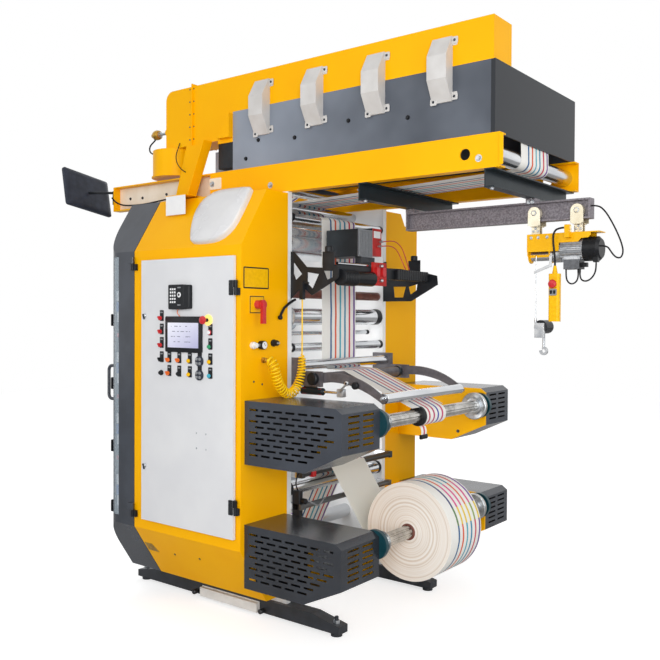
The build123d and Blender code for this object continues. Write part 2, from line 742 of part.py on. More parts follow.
def hoist_trolley():
    """Two trolleys on the lower flange that carry the hoist's folded frame and its cable drum."""
    wheel_z = BEAM_LOW + BEAM_FLANGE + WHEEL_GAP + WHEEL_R
    width = HOIST_HALF_W
    low = HOIST_TOP - HOIST_SKIRT
    notch = (HOIST_TOP + MOTOR_Z + MOTOR_R) / 2
    brow = (HOIST_TOP + MOTOR_Z + COWL_R) / 2 - 20
    hoist = block(HOIST_X0, COWL_X1, -width, width, HOIST_TOP - HOIST_PLATE_T, HOIST_TOP)
    skirt = [(HOIST_X0, HOIST_TOP), (HOIST_X1, HOIST_TOP), (HOIST_X1, brow + 14), (HOIST_X1 - 12, brow + 2),
             (MOTOR_X1 - 6, brow), (MOTOR_X1 - 20, notch - 32), (GEARBOX_X1 - 4, notch - 32),
             (GEARBOX_X1 - 4, low), (HOIST_X0, low)]
    for side in (-1, 1):
        y0, y1 = side * (width - HOIST_PLATE_T), side * width
        hoist += plate_xz(skirt, min(y0, y1), max(y0, y1))
    for x in DRUM_END_X:
        hoist += block(x, x + HOIST_PLATE_T, -width, width, DRUM_Z, HOIST_TOP)
        hoist += bar_x(0, DRUM_Z, x, x + HOIST_PLATE_T, DRUM_END_R)
    hoist += bar_x(0, DRUM_Z, DRUM_END_X[0], DRUM_END_X[1], CABLE_DRUM_R)
    for x in TROLLEY_X:
        for side in (-1, 1):
            hoist += trolley_plate(x, side, wheel_z)
    hoist += block(CLAMP_X0, CLAMP_X1, -width - 35, -width + 1, CLAMP_LOW, CLAMP_HIGH)
    post = DRUM_END_X[1]
    lever = [(ROPE_X - 6, LEVER_LOW), (post + LEVER_POST_W, LEVER_LOW + LEVER_RISE),
             (post + LEVER_POST_W, DRUM_Z + LEVER_T), (post, DRUM_Z + LEVER_T),
             (post, LEVER_LOW + LEVER_RISE + LEVER_T), (ROPE_X - 6, LEVER_LOW + LEVER_T)]
    hoist += plate_xz(lever, -38, -33)
    return [hoist]


def hoist_motor():
    """The hoist's gearbox, finned motor, fan cowl, switch box, plug and cable gland."""
    gear_x0 = DRUM_END_X[1] + HOIST_PLATE_T
    motor = bar_x(0, DRUM_Z, gear_x0, GEARBOX_X1, GEARBOX_R - 8)
    motor += bar_x(0, DRUM_Z + 4, GEARBOX_X1 - GEARBOX_RIM, GEARBOX_X1, GEARBOX_R)
    fins = []
    for step in range(4 * MOTOR_FINS):
        angle = math.radians(90.0 * step / MOTOR_FINS)
        radius = MOTOR_R if step % 4 < 2 else MOTOR_R - FIN_H
        fins.append((radius * math.cos(angle), MOTOR_Z + radius * math.sin(angle)))
    motor += plate_yz(fins, GEARBOX_X1 - 2, MOTOR_X1 + 2)
    cowl = bar_x(0, MOTOR_Z, MOTOR_X1, COWL_X1, COWL_R)
    motor += chamfer(cowl.edges().group_by(Axis.X)[-1], COWL_CHAMFER)
    motor += block(BOX_X0, BOX_X1, -BOX_HALF_W, BOX_HALF_W, BOX_LOW, BOX_HIGH)
    motor += block(BOX_X1 - 1, BOX_X1 + PLUG_L, -PLUG_HALF_W, PLUG_HALF_W, PLUG_LOW, PLUG_HIGH)
    motor += bar_z(GLAND_X, 0, BOX_LOW - GLAND_H, BOX_LOW, GLAND_R)
    motor += block(COWL_BOSS_X0, COWL_BOSS_X1, COWL_BOSS_Y0, COWL_BOSS_Y1, COWL_BOSS_LOW, DRUM_Z)
    return [motor]


def hoist_rope():
    """The single fall of rope from the drum to the hook."""
    return [bar_z(ROPE_X, -CABLE_DRUM_R - ROPE_R, HOOK_TOP, DRUM_Z, ROPE_R)]


def hook_block():
    """The round hook weight with its side plate, rope socket and flat hook."""
    x, y = HOOK_BLOCK_X, HOOK_BLOCK_Y
    rope_y = -CABLE_DRUM_R - ROPE_R
    y0, y1 = y - HOOK_BLOCK_T / 2, y + HOOK_BLOCK_T / 2
    weight = bar_y(x, HOOK_BLOCK_Z, y0, y1, HOOK_BLOCK_R)
    weight += block(x - HOOK_PLATE_W / 2, x + HOOK_PLATE_W / 2, y0 - HOOK_PLATE_T, y0,
                    HOOK_PLATE_LOW, HOOK_PLATE_HIGH)
    weight += bar_z(ROPE_X, rope_y, HOOK_TOP - ROPE_SOCKET_L, HOOK_TOP, ROPE_SOCKET_R)
    weight += bar_z(x, y, HOOK_Z + HOOK_EYE_R + 2, HOOK_BLOCK_Z, HOOK_NECK_R)
    hook = bar_y(x, HOOK_Z, y - HOOK_T / 2, y + HOOK_T / 2, HOOK_R)
    hook -= bar_y(x, HOOK_Z, y - HOOK_T, y + HOOK_T, HOOK_EYE_R)
    hook -= block(x - HOOK_R - 1, x - HOOK_NECK_R, y - HOOK_T, y + HOOK_T, HOOK_Z + 3, HOOK_Z + HOOK_R + 1)
    return [weight + hook]


def pendant():
    """The hand control that hangs from the hoist."""
    body = block(PENDANT_X - PENDANT_W / 2, PENDANT_X + PENDANT_W / 2, PENDANT_Y - PENDANT_D / 2,
                 PENDANT_Y + PENDANT_D / 2, PENDANT_LOW, PENDANT_HIGH)
    body = fillet(body.edges().filter_by(Axis.Z), 12)
    boot = Pos(PENDANT_X, PENDANT_Y, PENDANT_HIGH + PENDANT_BOOT_H / 2) * Cone(14, 7, PENDANT_BOOT_H)
    return [body + boot]


def reel_guard_outline(top, inset=0.0):
    """The reel guard's side outline in X and Z below its top, moved inwards by the inset."""
    low = top - REEL_GUARD_H
    corner = top - REEL_GUARD_CHAMFER_Z
    lip = corner - REEL_GUARD_END_H + REEL_GUARD_CHAMFER_Z
    outer = [(0, low), (0, top), (REEL_GUARD_L - REEL_GUARD_CHAMFER_X, top), (REEL_GUARD_L, corner),
             (REEL_GUARD_L, lip), (REEL_GUARD_FLAT, low)]
    if not inset:
        return outer
    edge = REEL_GUARD_L - REEL_GUARD_CHAMFER_X - inset * 0.4
    end = REEL_GUARD_L - inset
    return [(-1, low + inset), (-1, top - inset), (edge, top - inset), (end, corner - inset * 0.6),
            (end, lip + inset * 0.7),
            (REEL_GUARD_FLAT - inset * 0.4, low + inset)]


def inside_outline(x, z, top):
    """True where a slot end lies well inside the guard's side outline."""
    low = top - REEL_GUARD_H
    lip = top - REEL_GUARD_END_H
    if x > REEL_GUARD_L - SLOT_MARGIN or z > top - SLOT_MARGIN or z < low + SLOT_MARGIN:
        return False
    slope = (lip - low) / (REEL_GUARD_L - REEL_GUARD_FLAT)
    return z > low + SLOT_MARGIN + max(0.0, x - REEL_GUARD_FLAT) * slope


def reel_guard(top, side_y, inner_y):
    """A folded sheet guard over one reel arm with rows of slots in its side and end."""
    direction = 1 if inner_y > side_y else -1
    low_y, high_y = min(side_y, inner_y), max(side_y, inner_y)
    guard = plate_xz(reel_guard_outline(top), low_y, high_y)
    hollow = plate_xz(reel_guard_outline(top, REEL_GUARD_T),
                      min(side_y + direction * REEL_GUARD_T, inner_y + direction),
                      max(side_y + direction * REEL_GUARD_T, inner_y + direction))
    guard -= hollow
    slots = []
    row = 0
    z = top - SLOT_MARGIN - SLOT_H
    while z > top - REEL_GUARD_H + SLOT_MARGIN:
        x = SLOT_MARGIN + (row % 2) * SLOT_PITCH_X / 2
        while x + SLOT_L < REEL_GUARD_L:
            if inside_outline(x + SLOT_L, z - SLOT_H / 2, top):
                slots.append(block(x, x + SLOT_L, side_y - 2, side_y + direction * (REEL_GUARD_T + 2),
                                   z - SLOT_H / 2, z + SLOT_H / 2))
            x += SLOT_PITCH_X
        row += 1
        z -= SLOT_PITCH_Z
    z = top - SLOT_MARGIN - SLOT_H
    middle = (side_y + inner_y) / 2
    while z > top - REEL_GUARD_END_H + SLOT_MARGIN / 2:
        for side in (-1, 1):
            y = middle + side * END_SLOT_PITCH / 2
            slots.append(block(REEL_GUARD_L - REEL_GUARD_T - 2, REEL_GUARD_L + 2, y - END_SLOT_L / 2,
                               y + END_SLOT_L / 2, z - SLOT_H / 2, z + SLOT_H / 2))
        z -= SLOT_PITCH_Z
    return guard - slots


def near_reel_guards():
    """The two slotted guards on the operator's side, folded over the arm plates' edges."""
    side = ARM_NEAR_Y - ARM_T - REEL_GUARD_W
    return [reel_guard(top, side, ARM_NEAR_Y) for top in (UPPER_GUARD_TOP, LOWER_GUARD_TOP)]


def far_reel_guards():
    """The two slotted guards on the drive side."""
    side = ARM_FAR_Y + ARM_T + REEL_GUARD_W
    return [reel_guard(top, side, ARM_FAR_Y + ARM_T) for top in (UPPER_GUARD_TOP, LOWER_GUARD_TOP)]


def arm_plates():
    """Four arm plates that carry the reel shafts' bearings; the near two lie inside their guards."""
    plates = []
    for top in (UPPER_GUARD_TOP, LOWER_GUARD_TOP):
        inside = [(max(x, 0), z) for x, z in reel_guard_outline(top, REEL_GUARD_T)]
        plates.append(plate_xz(inside, ARM_NEAR_Y - ARM_T, ARM_NEAR_Y))
        plates.append(plate_xz(reel_guard_outline(top), ARM_FAR_Y, ARM_FAR_Y + ARM_T))
    return plates


def collar(y, direction, shaft_z):
    """A bearing housing on an arm plate's inner face, bored for the shaft's journal."""
    y_in = y - direction * COLLAR_T
    ring = bar_y(SHAFT_X, shaft_z, min(y, y_in), max(y, y_in), COLLAR_R)
    return ring


def shaft_collars():
    """The four bearing housings with their bores."""
    collars = []
    for shaft_z in (REWIND_Z, UNWIND_Z):
        near = collar(ARM_NEAR_Y, -1, shaft_z)
        far = collar(ARM_FAR_Y, 1, shaft_z)
        bore_near = bar_y(SHAFT_X, shaft_z, ARM_NEAR_Y + 4, ARM_NEAR_Y + COLLAR_T + 1, JOURNAL_R + SHAFT_FIT)
        bore_far = bar_y(SHAFT_X, shaft_z, ARM_FAR_Y - COLLAR_T - 1, ARM_FAR_Y - 4, JOURNAL_R + SHAFT_FIT)
        collars += [near - bore_near, far - bore_far]
    return collars


def reel_shaft(shaft_z):
    """A fluted air shaft with its hubs, flange and journals."""
    y0 = ARM_NEAR_Y + COLLAR_T + RUN_GAP
    y1 = ARM_FAR_Y - COLLAR_T - RUN_GAP
    shaft = bar_y(SHAFT_X, shaft_z, y0 + HUB_T, y1 - HUB_T, SHAFT_R)
    for step in range(SHAFT_FLUTES):
        angle = 2 * math.pi * step / SHAFT_FLUTES
        x = SHAFT_X + math.cos(angle) * (SHAFT_R + 2)
        z = shaft_z + math.sin(angle) * (SHAFT_R + 2)
        shaft -= bar_y(x, z, y0 + HUB_T + 8, y1 - HUB_T - FLANGE_T - 8, FLUTE_R)
    shaft += bar_y(SHAFT_X, shaft_z, y0, y0 + HUB_T, HUB_R)
    shaft += bar_y(SHAFT_X, shaft_z, y1 - HUB_T, y1, HUB_R)
    shaft += bar_y(SHAFT_X, shaft_z, y1 - HUB_T - FLANGE_T, y1 - HUB_T, FLANGE_R)
    shaft += bar_y(SHAFT_X, shaft_z, ARM_NEAR_Y + 5, y0, JOURNAL_R)
    shaft += bar_y(SHAFT_X, shaft_z, y1, ARM_FAR_Y - 5, JOURNAL_R)
    return [shaft]


def paper_roll():
    """The wound roll of paper on the unwind shaft."""
    roll = bar_y(SHAFT_X, UNWIND_Z, WEB_Y0, WEB_Y1, ROLL_R)
    return [roll - bar_y(SHAFT_X, UNWIND_Z, WEB_Y0 - 1, WEB_Y1 + 1, SHAFT_R + SHAFT_FIT)]


def rewind_roll():
    """The small printed reel on the rewind shaft."""
    roll = bar_y(SHAFT_X, REWIND_Z, REEL_Y0, REEL_Y1, REEL_R)
    return [roll - bar_y(SHAFT_X, REWIND_Z, REEL_Y0 - 1, REEL_Y1 + 1, SHAFT_R + SHAFT_FIT)]


def swing_outline():
    """A curved arm's outline: two arcs from the pivot to the lay-on roller."""
    top = ThreePointArc((PIVOT_X - SWING_W, PIVOT_Z + SWING_W * 0.3),
                        ((PIVOT_X + LAYON_X) / 2, (PIVOT_Z + LAYON_Z) / 2 + SWING_RISE + SWING_W * 0.6),
                        (LAYON_X + SWING_W * 0.6, LAYON_Z - 8))
    nose = Line((LAYON_X + SWING_W * 0.6, LAYON_Z - 8), (LAYON_X + 4, LAYON_Z - SWING_W * 0.62))
    under = ThreePointArc((LAYON_X + 4, LAYON_Z - SWING_W * 0.62),
                          ((PIVOT_X + LAYON_X) / 2, (PIVOT_Z + LAYON_Z) / 2 + SWING_RISE - SWING_W * 0.55),
                          (PIVOT_X - SWING_W, PIVOT_Z - SWING_W * 0.8))
    heel = Line((PIVOT_X - SWING_W, PIVOT_Z - SWING_W * 0.8), (PIVOT_X - SWING_W, PIVOT_Z + SWING_W * 0.3))
    return make_face([top, nose, under, heel])


def swing_arms():
    """Two curved arms fixed on the pivot shaft that runs between the bearings."""
    plane = Plane(origin=(0, 0, 0), x_dir=(1, 0, 0), z_dir=(0, -1, 0))
    arm = extrude(plane * swing_outline(), amount=SWING_T)
    near = Pos(0, -SWING_Y + SWING_T / 2, 0) * arm
    far = Pos(0, SWING_Y + SWING_T / 2, 0) * arm
    arms = near + far
    arms += bar_y(PIVOT_X, PIVOT_Z, -SWING_Y, SWING_Y, PIVOT_R)
    arms += bar_y(PIVOT_X, PIVOT_Z, -SWING_Y - SWING_T / 2 - 30, SWING_Y + SWING_T / 2 + 30, JOURNAL_R)
    for y0, y1 in ((-SWING_Y - SWING_T / 2 - 1, -SWING_Y + SWING_T / 2 + 1),
                   (SWING_Y - SWING_T / 2 - 1, SWING_Y + SWING_T / 2 + 1)):
        arms -= bar_y(LAYON_X, LAYON_Z, y0, y1, ROLLER_JOURNAL + SHAFT_FIT)
    return [arms]


def layon_roller():
    """The free-running roller that the swing arms lower towards the winding reel."""
    reach = SWING_Y - SWING_T / 2 - RUN_GAP
    roller = bar_y(LAYON_X, LAYON_Z, -reach, reach, LAYON_R)
    end = SWING_Y + SWING_T / 2
    roller += bar_y(LAYON_X, LAYON_Z, -end, end, ROLLER_JOURNAL)
    return [roller]


def pivot_bearings():
    """Bearing blocks that carry the swing arms' shaft on brackets from the side plates."""
    outer = SWING_Y + SWING_T / 2
    blocks = []
    for side in (-1, 1):
        y0, y1 = side * (outer + RUN_GAP), side * FRAME_IN
        low, high = min(y0, y1), max(y0, y1)
        bottom = PIVOT_Z - PIVOT_BLOCK_SIDE
        body = block(-PIVOT_BLOCK_BACK, PIVOT_X + PIVOT_BLOCK_SIDE, low, high, bottom,
                     PIVOT_Z + PIVOT_BLOCK_RISE)
        body += block(-PIVOT_BLOCK_BACK, TURN_ROLLER[0] + PIVOT_BLOCK_SIDE, low, high, bottom,
                      TURN_ROLLER[1] + PIVOT_BLOCK_SIDE)
        bore = bar_y(PIVOT_X, PIVOT_Z, low - 1, high + 1, JOURNAL_R + SHAFT_FIT)
        blocks.append(body - bore)
    return blocks


def roller(x, z, radius):
    """A roller between the side plates with journals that run in them."""
    reach = FRAME_IN - RUN_GAP
    body = bar_y(x, z, -reach, reach, radius)
    return body + bar_y(x, z, -FRAME_IN - JOURNAL_SEAT, FRAME_IN + JOURNAL_SEAT, ROLLER_JOURNAL)


def nip_roller():
    """The brown rubber nip roller."""
    return [roller(ROLLER_X, NIP_ROLLER_Z, NIP_ROLLER_R)]


def web_roller():
    """The polished roller that the printed paper turns round."""
    return [roller(ROLLER_X, MAIN_ROLLER_Z, MAIN_ROLLER_R)]


def idle_roller(x, z, radius, reach):
    """A roller whose ends seat on what lies each side of it."""
    return bar_y(x, z, -reach, reach, radius)


def stood_off_roller(x, z, radius):
    """A roller in front of the side plates, on lugs from their faces."""
    body = bar_y(x, z, -FRAME_IN + LUG_T, FRAME_IN - LUG_T, radius)
    for side in (-1, 1):
        y0, y1 = side * (FRAME_IN - LUG_T), side * FRAME_IN
        body += block(-LUG_BACK, x + radius, min(y0, y1), max(y0, y1), z - radius, z + radius)
    return body


def idle_rollers():
    """Guide rollers and bars that the paper runs over."""
    tunnel_reach = FRAME_OUT - RAIL_T
    rollers = [idle_roller(x, z, radius, FRAME_IN) for x, z, radius in
               (LOW_ROLLER, TOP_DECK_ROLLER, RETURN_ROLLER, GUIDE_ROLLER, LAST_ROLLER, COOLING_DRUM,
                SILVER_ROLLER, SMALL_ROLLER)]
    rollers += [idle_roller(x, z, radius, tunnel_reach) for x, z, radius in
                (TUNNEL_IN_ROLLER, TUNNEL_END_ROLLER)]
    rollers.append(idle_roller(*TUNNEL_TOP_ROLLER, FRAME_OUT - HOOD_T))
    rollers += [stood_off_roller(x, z, radius) for x, z, radius in (SENSOR_ROLLER, LOW_BAR)]
    turn_x, turn_z, turn_r = TURN_ROLLER
    rollers.append(idle_roller(turn_x, turn_z, turn_r, SWING_Y + SWING_T / 2 + RUN_GAP))
    return rollers


def web_stations():
    """The circles that the paper's middle line turns on, with +1 for a left turn in X and Z."""
    lift = WEB_GAP + WEB_T / 2
    stations = [(SHAFT_X, UNWIND_Z, ROLL_R, -1), (*SENSOR_ROLLER, 1), (*SILVER_ROLLER, 1), (*LOW_ROLLER, -1)]
    for step in range(DECK_COUNT):
        stations.append((IMPRESSION_X, DECK_LOW_Z + step * DECK_PITCH, IMPRESSION_R, -1))
    stations += [(*TOP_DECK_ROLLER, -1), (*TUNNEL_IN_ROLLER, -1), (*TUNNEL_TOP_ROLLER, -1),
                 (*TUNNEL_END_ROLLER, -1), (*RETURN_ROLLER, 1), (*GUIDE_ROLLER, -1),
                 (ROLLER_X, MAIN_ROLLER_Z, MAIN_ROLLER_R, -1),
                 (*LAST_ROLLER, -1), (*TURN_ROLLER, 1), (PIVOT_X, PIVOT_Z, PIVOT_R, -1),
                 (SHAFT_X, REWIND_Z, REEL_R, -1)]
    return [(x, z, radius + lift, turn) for x, z, radius, turn in stations]


def tangent_run(start, end):
    """Where the straight run from one turning circle to the next begins and ends."""
    x0, z0, r0, turn0 = start
    x1, z1, r1, turn1 = end
    length = math.hypot(x1 - x0, z1 - z0)
    ux, uz = (x1 - x0) / length, (z1 - z0) / length
    across = (turn1 * r1 - turn0 * r0) / length
    along = math.sqrt(1 - across * across)
    nx, nz = across * ux - along * uz, across * uz + along * ux
    return ((x0 - turn0 * r0 * nx, z0 - turn0 * r0 * nz), (x1 - turn1 * r1 * nx, z1 - turn1 * r1 * nz))


def web_run(start, end):
    """The flat band of paper between two tangent points."""
    (x0, z0), (x1, z1) = start, end
    length = math.hypot(x1 - x0, z1 - z0)
    nx, nz = -(z1 - z0) / length * WEB_T / 2, (x1 - x0) / length * WEB_T / 2
    return plate_xz([(x0 + nx, z0 + nz), (x1 + nx, z1 + nz), (x1 - nx, z1 - nz), (x0 - nx, z0 - nz)],
                    WEB_Y0, WEB_Y1)


def web_wrap(station, arrive, leave):
    """The curved band of paper round one roller, between two tangent points."""
    x, z, radius, turn = station
    first = math.degrees(math.atan2(arrive[1] - z, arrive[0] - x))
    last = math.degrees(math.atan2(leave[1] - z, leave[0] - x))
    sweep_angle = (last - first) % 360 if turn > 0 else -((first - last) % 360)
    if abs(sweep_angle) < 0.5 or abs(sweep_angle) > 359.5:
        return None
    outer = CenterArc((x, z), radius + WEB_T / 2, first, sweep_angle)
    inner = CenterArc((x, z), radius - WEB_T / 2, first, sweep_angle)
    face = make_face([outer, Line(outer @ 1, inner @ 1), inner, Line(inner @ 0, outer @ 0)])
    plane = Plane(origin=(0, WEB_Y1, 0), x_dir=(1, 0, 0), z_dir=(0, -1, 0))
    return extrude(plane * face, amount=WEB_Y1 - WEB_Y0)


def paper_web():
    """The whole run of paper from the unwinding roll through the decks and the tunnel to the reel."""
    stations = web_stations()
    runs = [tangent_run(a, b) for a, b in zip(stations, stations[1:])]
    paper = None
    for index, (start, end) in enumerate(runs):
        run = web_run(start, end)
        paper = run if paper is None else paper + run
        if index + 1 < len(runs):
            wrap = web_wrap(stations[index + 1], end, runs[index + 1][0])
            if wrap is not None:
                paper += wrap
    return [paper]


def bracket_plate(outline, holes, y0):
    """A lattice plate with its pierced openings."""
    plate = plate_xz(outline, y0, y0 + BRACKET_T)
    for hole in holes:
        plate -= plate_xz(hole, y0 - 1, y0 + BRACKET_T + 1)
    return plate


def camera_brackets():
    """Lattice brackets on the side plates that hold the camera's cross rail, and the rail."""
    y = FRAME_IN + BRACKET_OUT
    near = bracket_plate(NEAR_BRACKET, NEAR_BRACKET_HOLES, -y)
    far = bracket_plate(FAR_BRACKET, FAR_BRACKET_HOLES, y - BRACKET_T)
    inner = y - BRACKET_T
    rail = block(TRAVERSE_X0, TRAVERSE_X1, -inner, inner, TRAVERSE_LOW, TRAVERSE_HIGH)
    return [near, far, rail]


def camera_unit():
    """The inspection camera's housing and lamp on their carriage, with the traverse motor's tube."""
    body = block(CAMERA_X0, CAMERA_X1, CAMERA_Y0, CAMERA_Y1, CAMERA_LOW, CAMERA_HIGH)
    body += block(CARRIAGE_X0, CAMERA_X1, CARRIAGE_Y0, CARRIAGE_Y1, CARRIAGE_LOW, CAMERA_LOW)
    body += block(CARRIAGE_X0, CARRIAGE_X1, CARRIAGE_Y0, CARRIAGE_Y1, CARRIAGE_LOW, CARRIAGE_LOW + 30)
    body += block(TRAVERSE_X1, CARRIAGE_X1, CARRIAGE_Y0, CARRIAGE_Y1, SLIDER_LOW, CARRIAGE_LOW + 30)
    lamp = block(CAMERA_X0, CAMERA_X1, CAMERA_Y1, LAMP_Y1, CAMERA_LOW + 10, LAMP_HIGH)
    tube = bar_y(MOTOR_TUBE_X, MOTOR_TUBE_Z, MOTOR_TUBE_Y0, MOTOR_TUBE_Y1, MOTOR_TUBE_R)
    tube -= block(TRAVERSE_X0, TRAVERSE_X1, MOTOR_TUBE_Y0 - 1, MOTOR_TUBE_Y1 + 1, TRAVERSE_LOW, TRAVERSE_HIGH)
    return [body, lamp, tube]


def print_decks():
    """Four decks of impression, plate and anilox cylinders with their ink trays."""
    reach = FRAME_IN - DECK_END_GAP
    plate_x = IMPRESSION_X - IMPRESSION_R - PLATE_CYL_R - NIP
    anilox_x = plate_x - PLATE_CYL_R - ANILOX_R - NIP
    pieces = []
    for step in range(DECK_COUNT):
        z = DECK_LOW_Z + step * DECK_PITCH
        for x, radius in ((IMPRESSION_X, IMPRESSION_R), (plate_x, PLATE_CYL_R), (anilox_x, ANILOX_R)):
            body = bar_y(x, z, -reach, reach, radius)
            pieces.append(body + bar_y(x, z, -FRAME_IN, FRAME_IN, 18))
        tray = block(anilox_x - 45, anilox_x + 60, -FRAME_IN, FRAME_IN, z - 110, z - 60)
        tray -= block(anilox_x - 45 + TRAY_T, anilox_x + 60 - TRAY_T, -FRAME_IN + TRAY_T, FRAME_IN - TRAY_T,
                      z - 110 + TRAY_T, z - 59)
        pieces.append(tray)
    return pieces


def fixed_hinge(x, z, face_y, reach):
    """The fixed half of a hinge: a knuckle with its pin and an arm to the housing."""
    low = bar_z(x, HINGE_Y, z - HINGE_HALF, z - HINGE_END_GAP / 2, HINGE_R)
    pin = bar_z(x, HINGE_Y, z - HINGE_HALF, z + HINGE_HALF, HINGE_PIN_R)
    arm = block(x, x + reach, HINGE_Y, face_y, z - HINGE_HALF, z - HINGE_END_GAP / 2 - 2)
    return low + pin + arm


def moving_hinge(x, z, face_y, reach):
    """The moving half of a hinge: a bored knuckle with an arm to the leaf."""
    knuckle = bar_z(x, HINGE_Y, z + HINGE_END_GAP / 2, z + HINGE_HALF, HINGE_R)
    arm = block(x - reach, x, HINGE_Y - HINGE_R, face_y, z + HINGE_END_GAP / 2 + 2, z + HINGE_HALF)
    bore = bar_z(x, HINGE_Y, z - HINGE_HALF, z + HINGE_HALF + 1, HINGE_PIN_R + HINGE_FIT)
    return (knuckle + arm) - bore


def hinge_brackets():
    """The fixed halves of all leaf hinges."""
    pieces = []
    for z in DOOR_HINGE_ZS:
        pieces.append(fixed_hinge(DOOR_HINGE_X, z, -CABINET_OUT, HINGE_ARM))
    for z in GUARD_HINGE_ZS:
        guard = fixed_hinge(GUARD_HINGE_X, z, -CABINET_OUT, GUARD_HINGE_ARM)
        pieces += [guard, mirrored(guard)]
    return pieces


def cabinet_door():
    """The folded white door with its hinge knuckles."""
    door = block(DOOR_X0, DOOR_X1, DOOR_FACE, DOOR_BACK, DOOR_LOW, DOOR_HIGH)
    door -= block(DOOR_X0 + DOOR_LIP, DOOR_X1 - DOOR_LIP, DOOR_FACE + 4, DOOR_BACK + 1,
                  DOOR_LOW + DOOR_LIP, DOOR_HIGH - DOOR_LIP)
    for z in DOOR_HINGE_ZS:
        door += moving_hinge(DOOR_HINGE_X, z, DOOR_BACK, HINGE_LEAF)
    return [door]


def door_controls():
    """The touch panel, keypad, emergency stop and rows of push buttons on the door."""
    y = DOOR_FACE
    pieces = [block(*PANEL_X, y - PANEL_T, y, *PANEL_Z), block(*KEYPAD_X, y - BUTTON_OUT, y, *KEYPAD_Z)]
    places = [STOP_BUTTON]
    places += [(BUTTON_COLUMN_X, z) for z in BUTTON_COLUMN_ZS]
    places += [(x, z) for x in BUTTON_ROW_XS for z in BUTTON_ROW_ZS]
    places += [(BUTTON_ROW_XS[-1], z) for z in BUTTON_PAIR_ZS]
    for x, z in places:
        pieces.append(bar_y(x, z, y - BUTTON_OUT, y, BUTTON_R))
    return pieces


def guard_outline():
    """The near guard leaf's outline in Y and Z, up to the middle gap."""
    return [(-GUARD_GAP, CABINET_BOTTOM), (-(CABINET_OUT - BEVEL_BOTTOM_IN), CABINET_BOTTOM),
            (-CABINET_OUT, BEVEL_LOW_Z), (-CABINET_OUT, BEVEL_HIGH_Z),
            (-(CABINET_OUT - BEVEL_TOP_IN), CABINET_TOP), (-GUARD_GAP, CABINET_TOP)]


def guard_shell():
    """The leaf's bent shell, open towards the frame."""
    x1 = -CABINET_L - GUARD_GAP
    x0 = x1 - GUARD_L
    outer_face = make_face(Polyline(*guard_outline(), close=True))
    inner_face = offset(outer_face, amount=-GUARD_T, kind=Kind.INTERSECTION)
    plane = Plane(origin=(x0, 0, 0), x_dir=(0, 1, 0), z_dir=(1, 0, 0))
    outer = extrude(plane * outer_face, amount=GUARD_L)
    corner = outer.edges().filter_by(Axis.Z).sort_by(Axis.Y)
    front = [edge for edge in corner if edge.center().X < x0 + 1 and edge.center().Y < -CABINET_OUT + 1]
    outer = fillet(front, GUARD_CORNER_R)
    plane_in = Plane(origin=(x0 + GUARD_T, 0, 0), x_dir=(0, 1, 0), z_dir=(1, 0, 0))
    inner = extrude(plane_in * inner_face, amount=GUARD_L)
    corner = [edge for edge in inner.edges().filter_by(Axis.Z)
              if edge.center().X < x0 + GUARD_T + 1 and edge.center().Y < -CABINET_OUT + GUARD_T + 1]
    inner = fillet(corner, GUARD_CORNER_R - GUARD_T)
    middle = block(x0 + GUARD_T, x1 + 1, -GUARD_GAP - 2 * GUARD_T, 0, CABINET_BOTTOM + GUARD_T,
                   CABINET_TOP - GUARD_T)
    return outer - inner - middle


def guard_window_boxes():
    """The side strip and the front pane of a guard leaf."""
    x1 = -CABINET_L - GUARD_GAP
    x0 = x1 - GUARD_L
    side = block(x0 + 34, x1 - GUARD_BAND, -CABINET_OUT - 10, -CABINET_OUT + GUARD_CORNER_R,
                 GUARD_WINDOW_LOW, GUARD_WINDOW_HIGH)
    front = block(x0 - 10, x0 + GUARD_T + 4, -CABINET_OUT + GUARD_CORNER_R, -GUARD_GAP - GUARD_STILE,
                  GUARD_WINDOW_LOW, GUARD_WINDOW_HIGH)
    return side, front


def bow_handle():
    """A bent bar handle on the leaf's corner stile."""
    x_face = -CABINET_L - GUARD_GAP - GUARD_L + 20
    out = x_face - HANDLE_OUT
    path = FilletPolyline((x_face, -HANDLE_Y, HANDLE_LOW), (out, -HANDLE_Y, HANDLE_LOW),
                          (out, -HANDLE_Y, HANDLE_HIGH), (x_face, -HANDLE_Y, HANDLE_HIGH), radius=30)
    section = Plane(origin=(x_face, -HANDLE_Y, HANDLE_LOW), z_dir=(-1, 0, 0)) * Circle(HANDLE_R)
    return sweep(section, path=path)


def near_guard_frame():
    """The dark frame of the near guard leaf, with its handle and hinge knuckles."""
    side, front = guard_window_boxes()
    frame = guard_shell() - side - front
    frame += bow_handle()
    for z in GUARD_HINGE_ZS:
        frame += moving_hinge(GUARD_HINGE_X, z, -CABINET_OUT + GUARD_T / 2, GUARD_HINGE_LEAF)
    clear = block(-CABINET_L - GUARD_GAP, -CABINET_L + 20, -CABINET_OUT - 0.5, -CABINET_OUT + 20,
                  CABINET_BOTTOM, CABINET_TOP)
    return [frame - clear]


def near_guard_window():
    """The clear sheets of the near guard leaf."""
    side, front = guard_window_boxes()
    shell = guard_shell()
    return [shell & side, shell & front]


def main_switch():
    """The isolator's plate and body on the housing's reel-side face."""
    plate = block(0, SWITCH_PLATE_T, SWITCH_Y - SWITCH_PLATE_W / 2, SWITCH_Y + SWITCH_PLATE_W / 2,
                  SWITCH_Z - SWITCH_PLATE_H / 2, SWITCH_Z + SWITCH_PLATE_H / 2)
    return [plate + bar_x(SWITCH_Y, SWITCH_Z, SWITCH_PLATE_T, SWITCH_BODY_X1, SWITCH_BODY_R)]


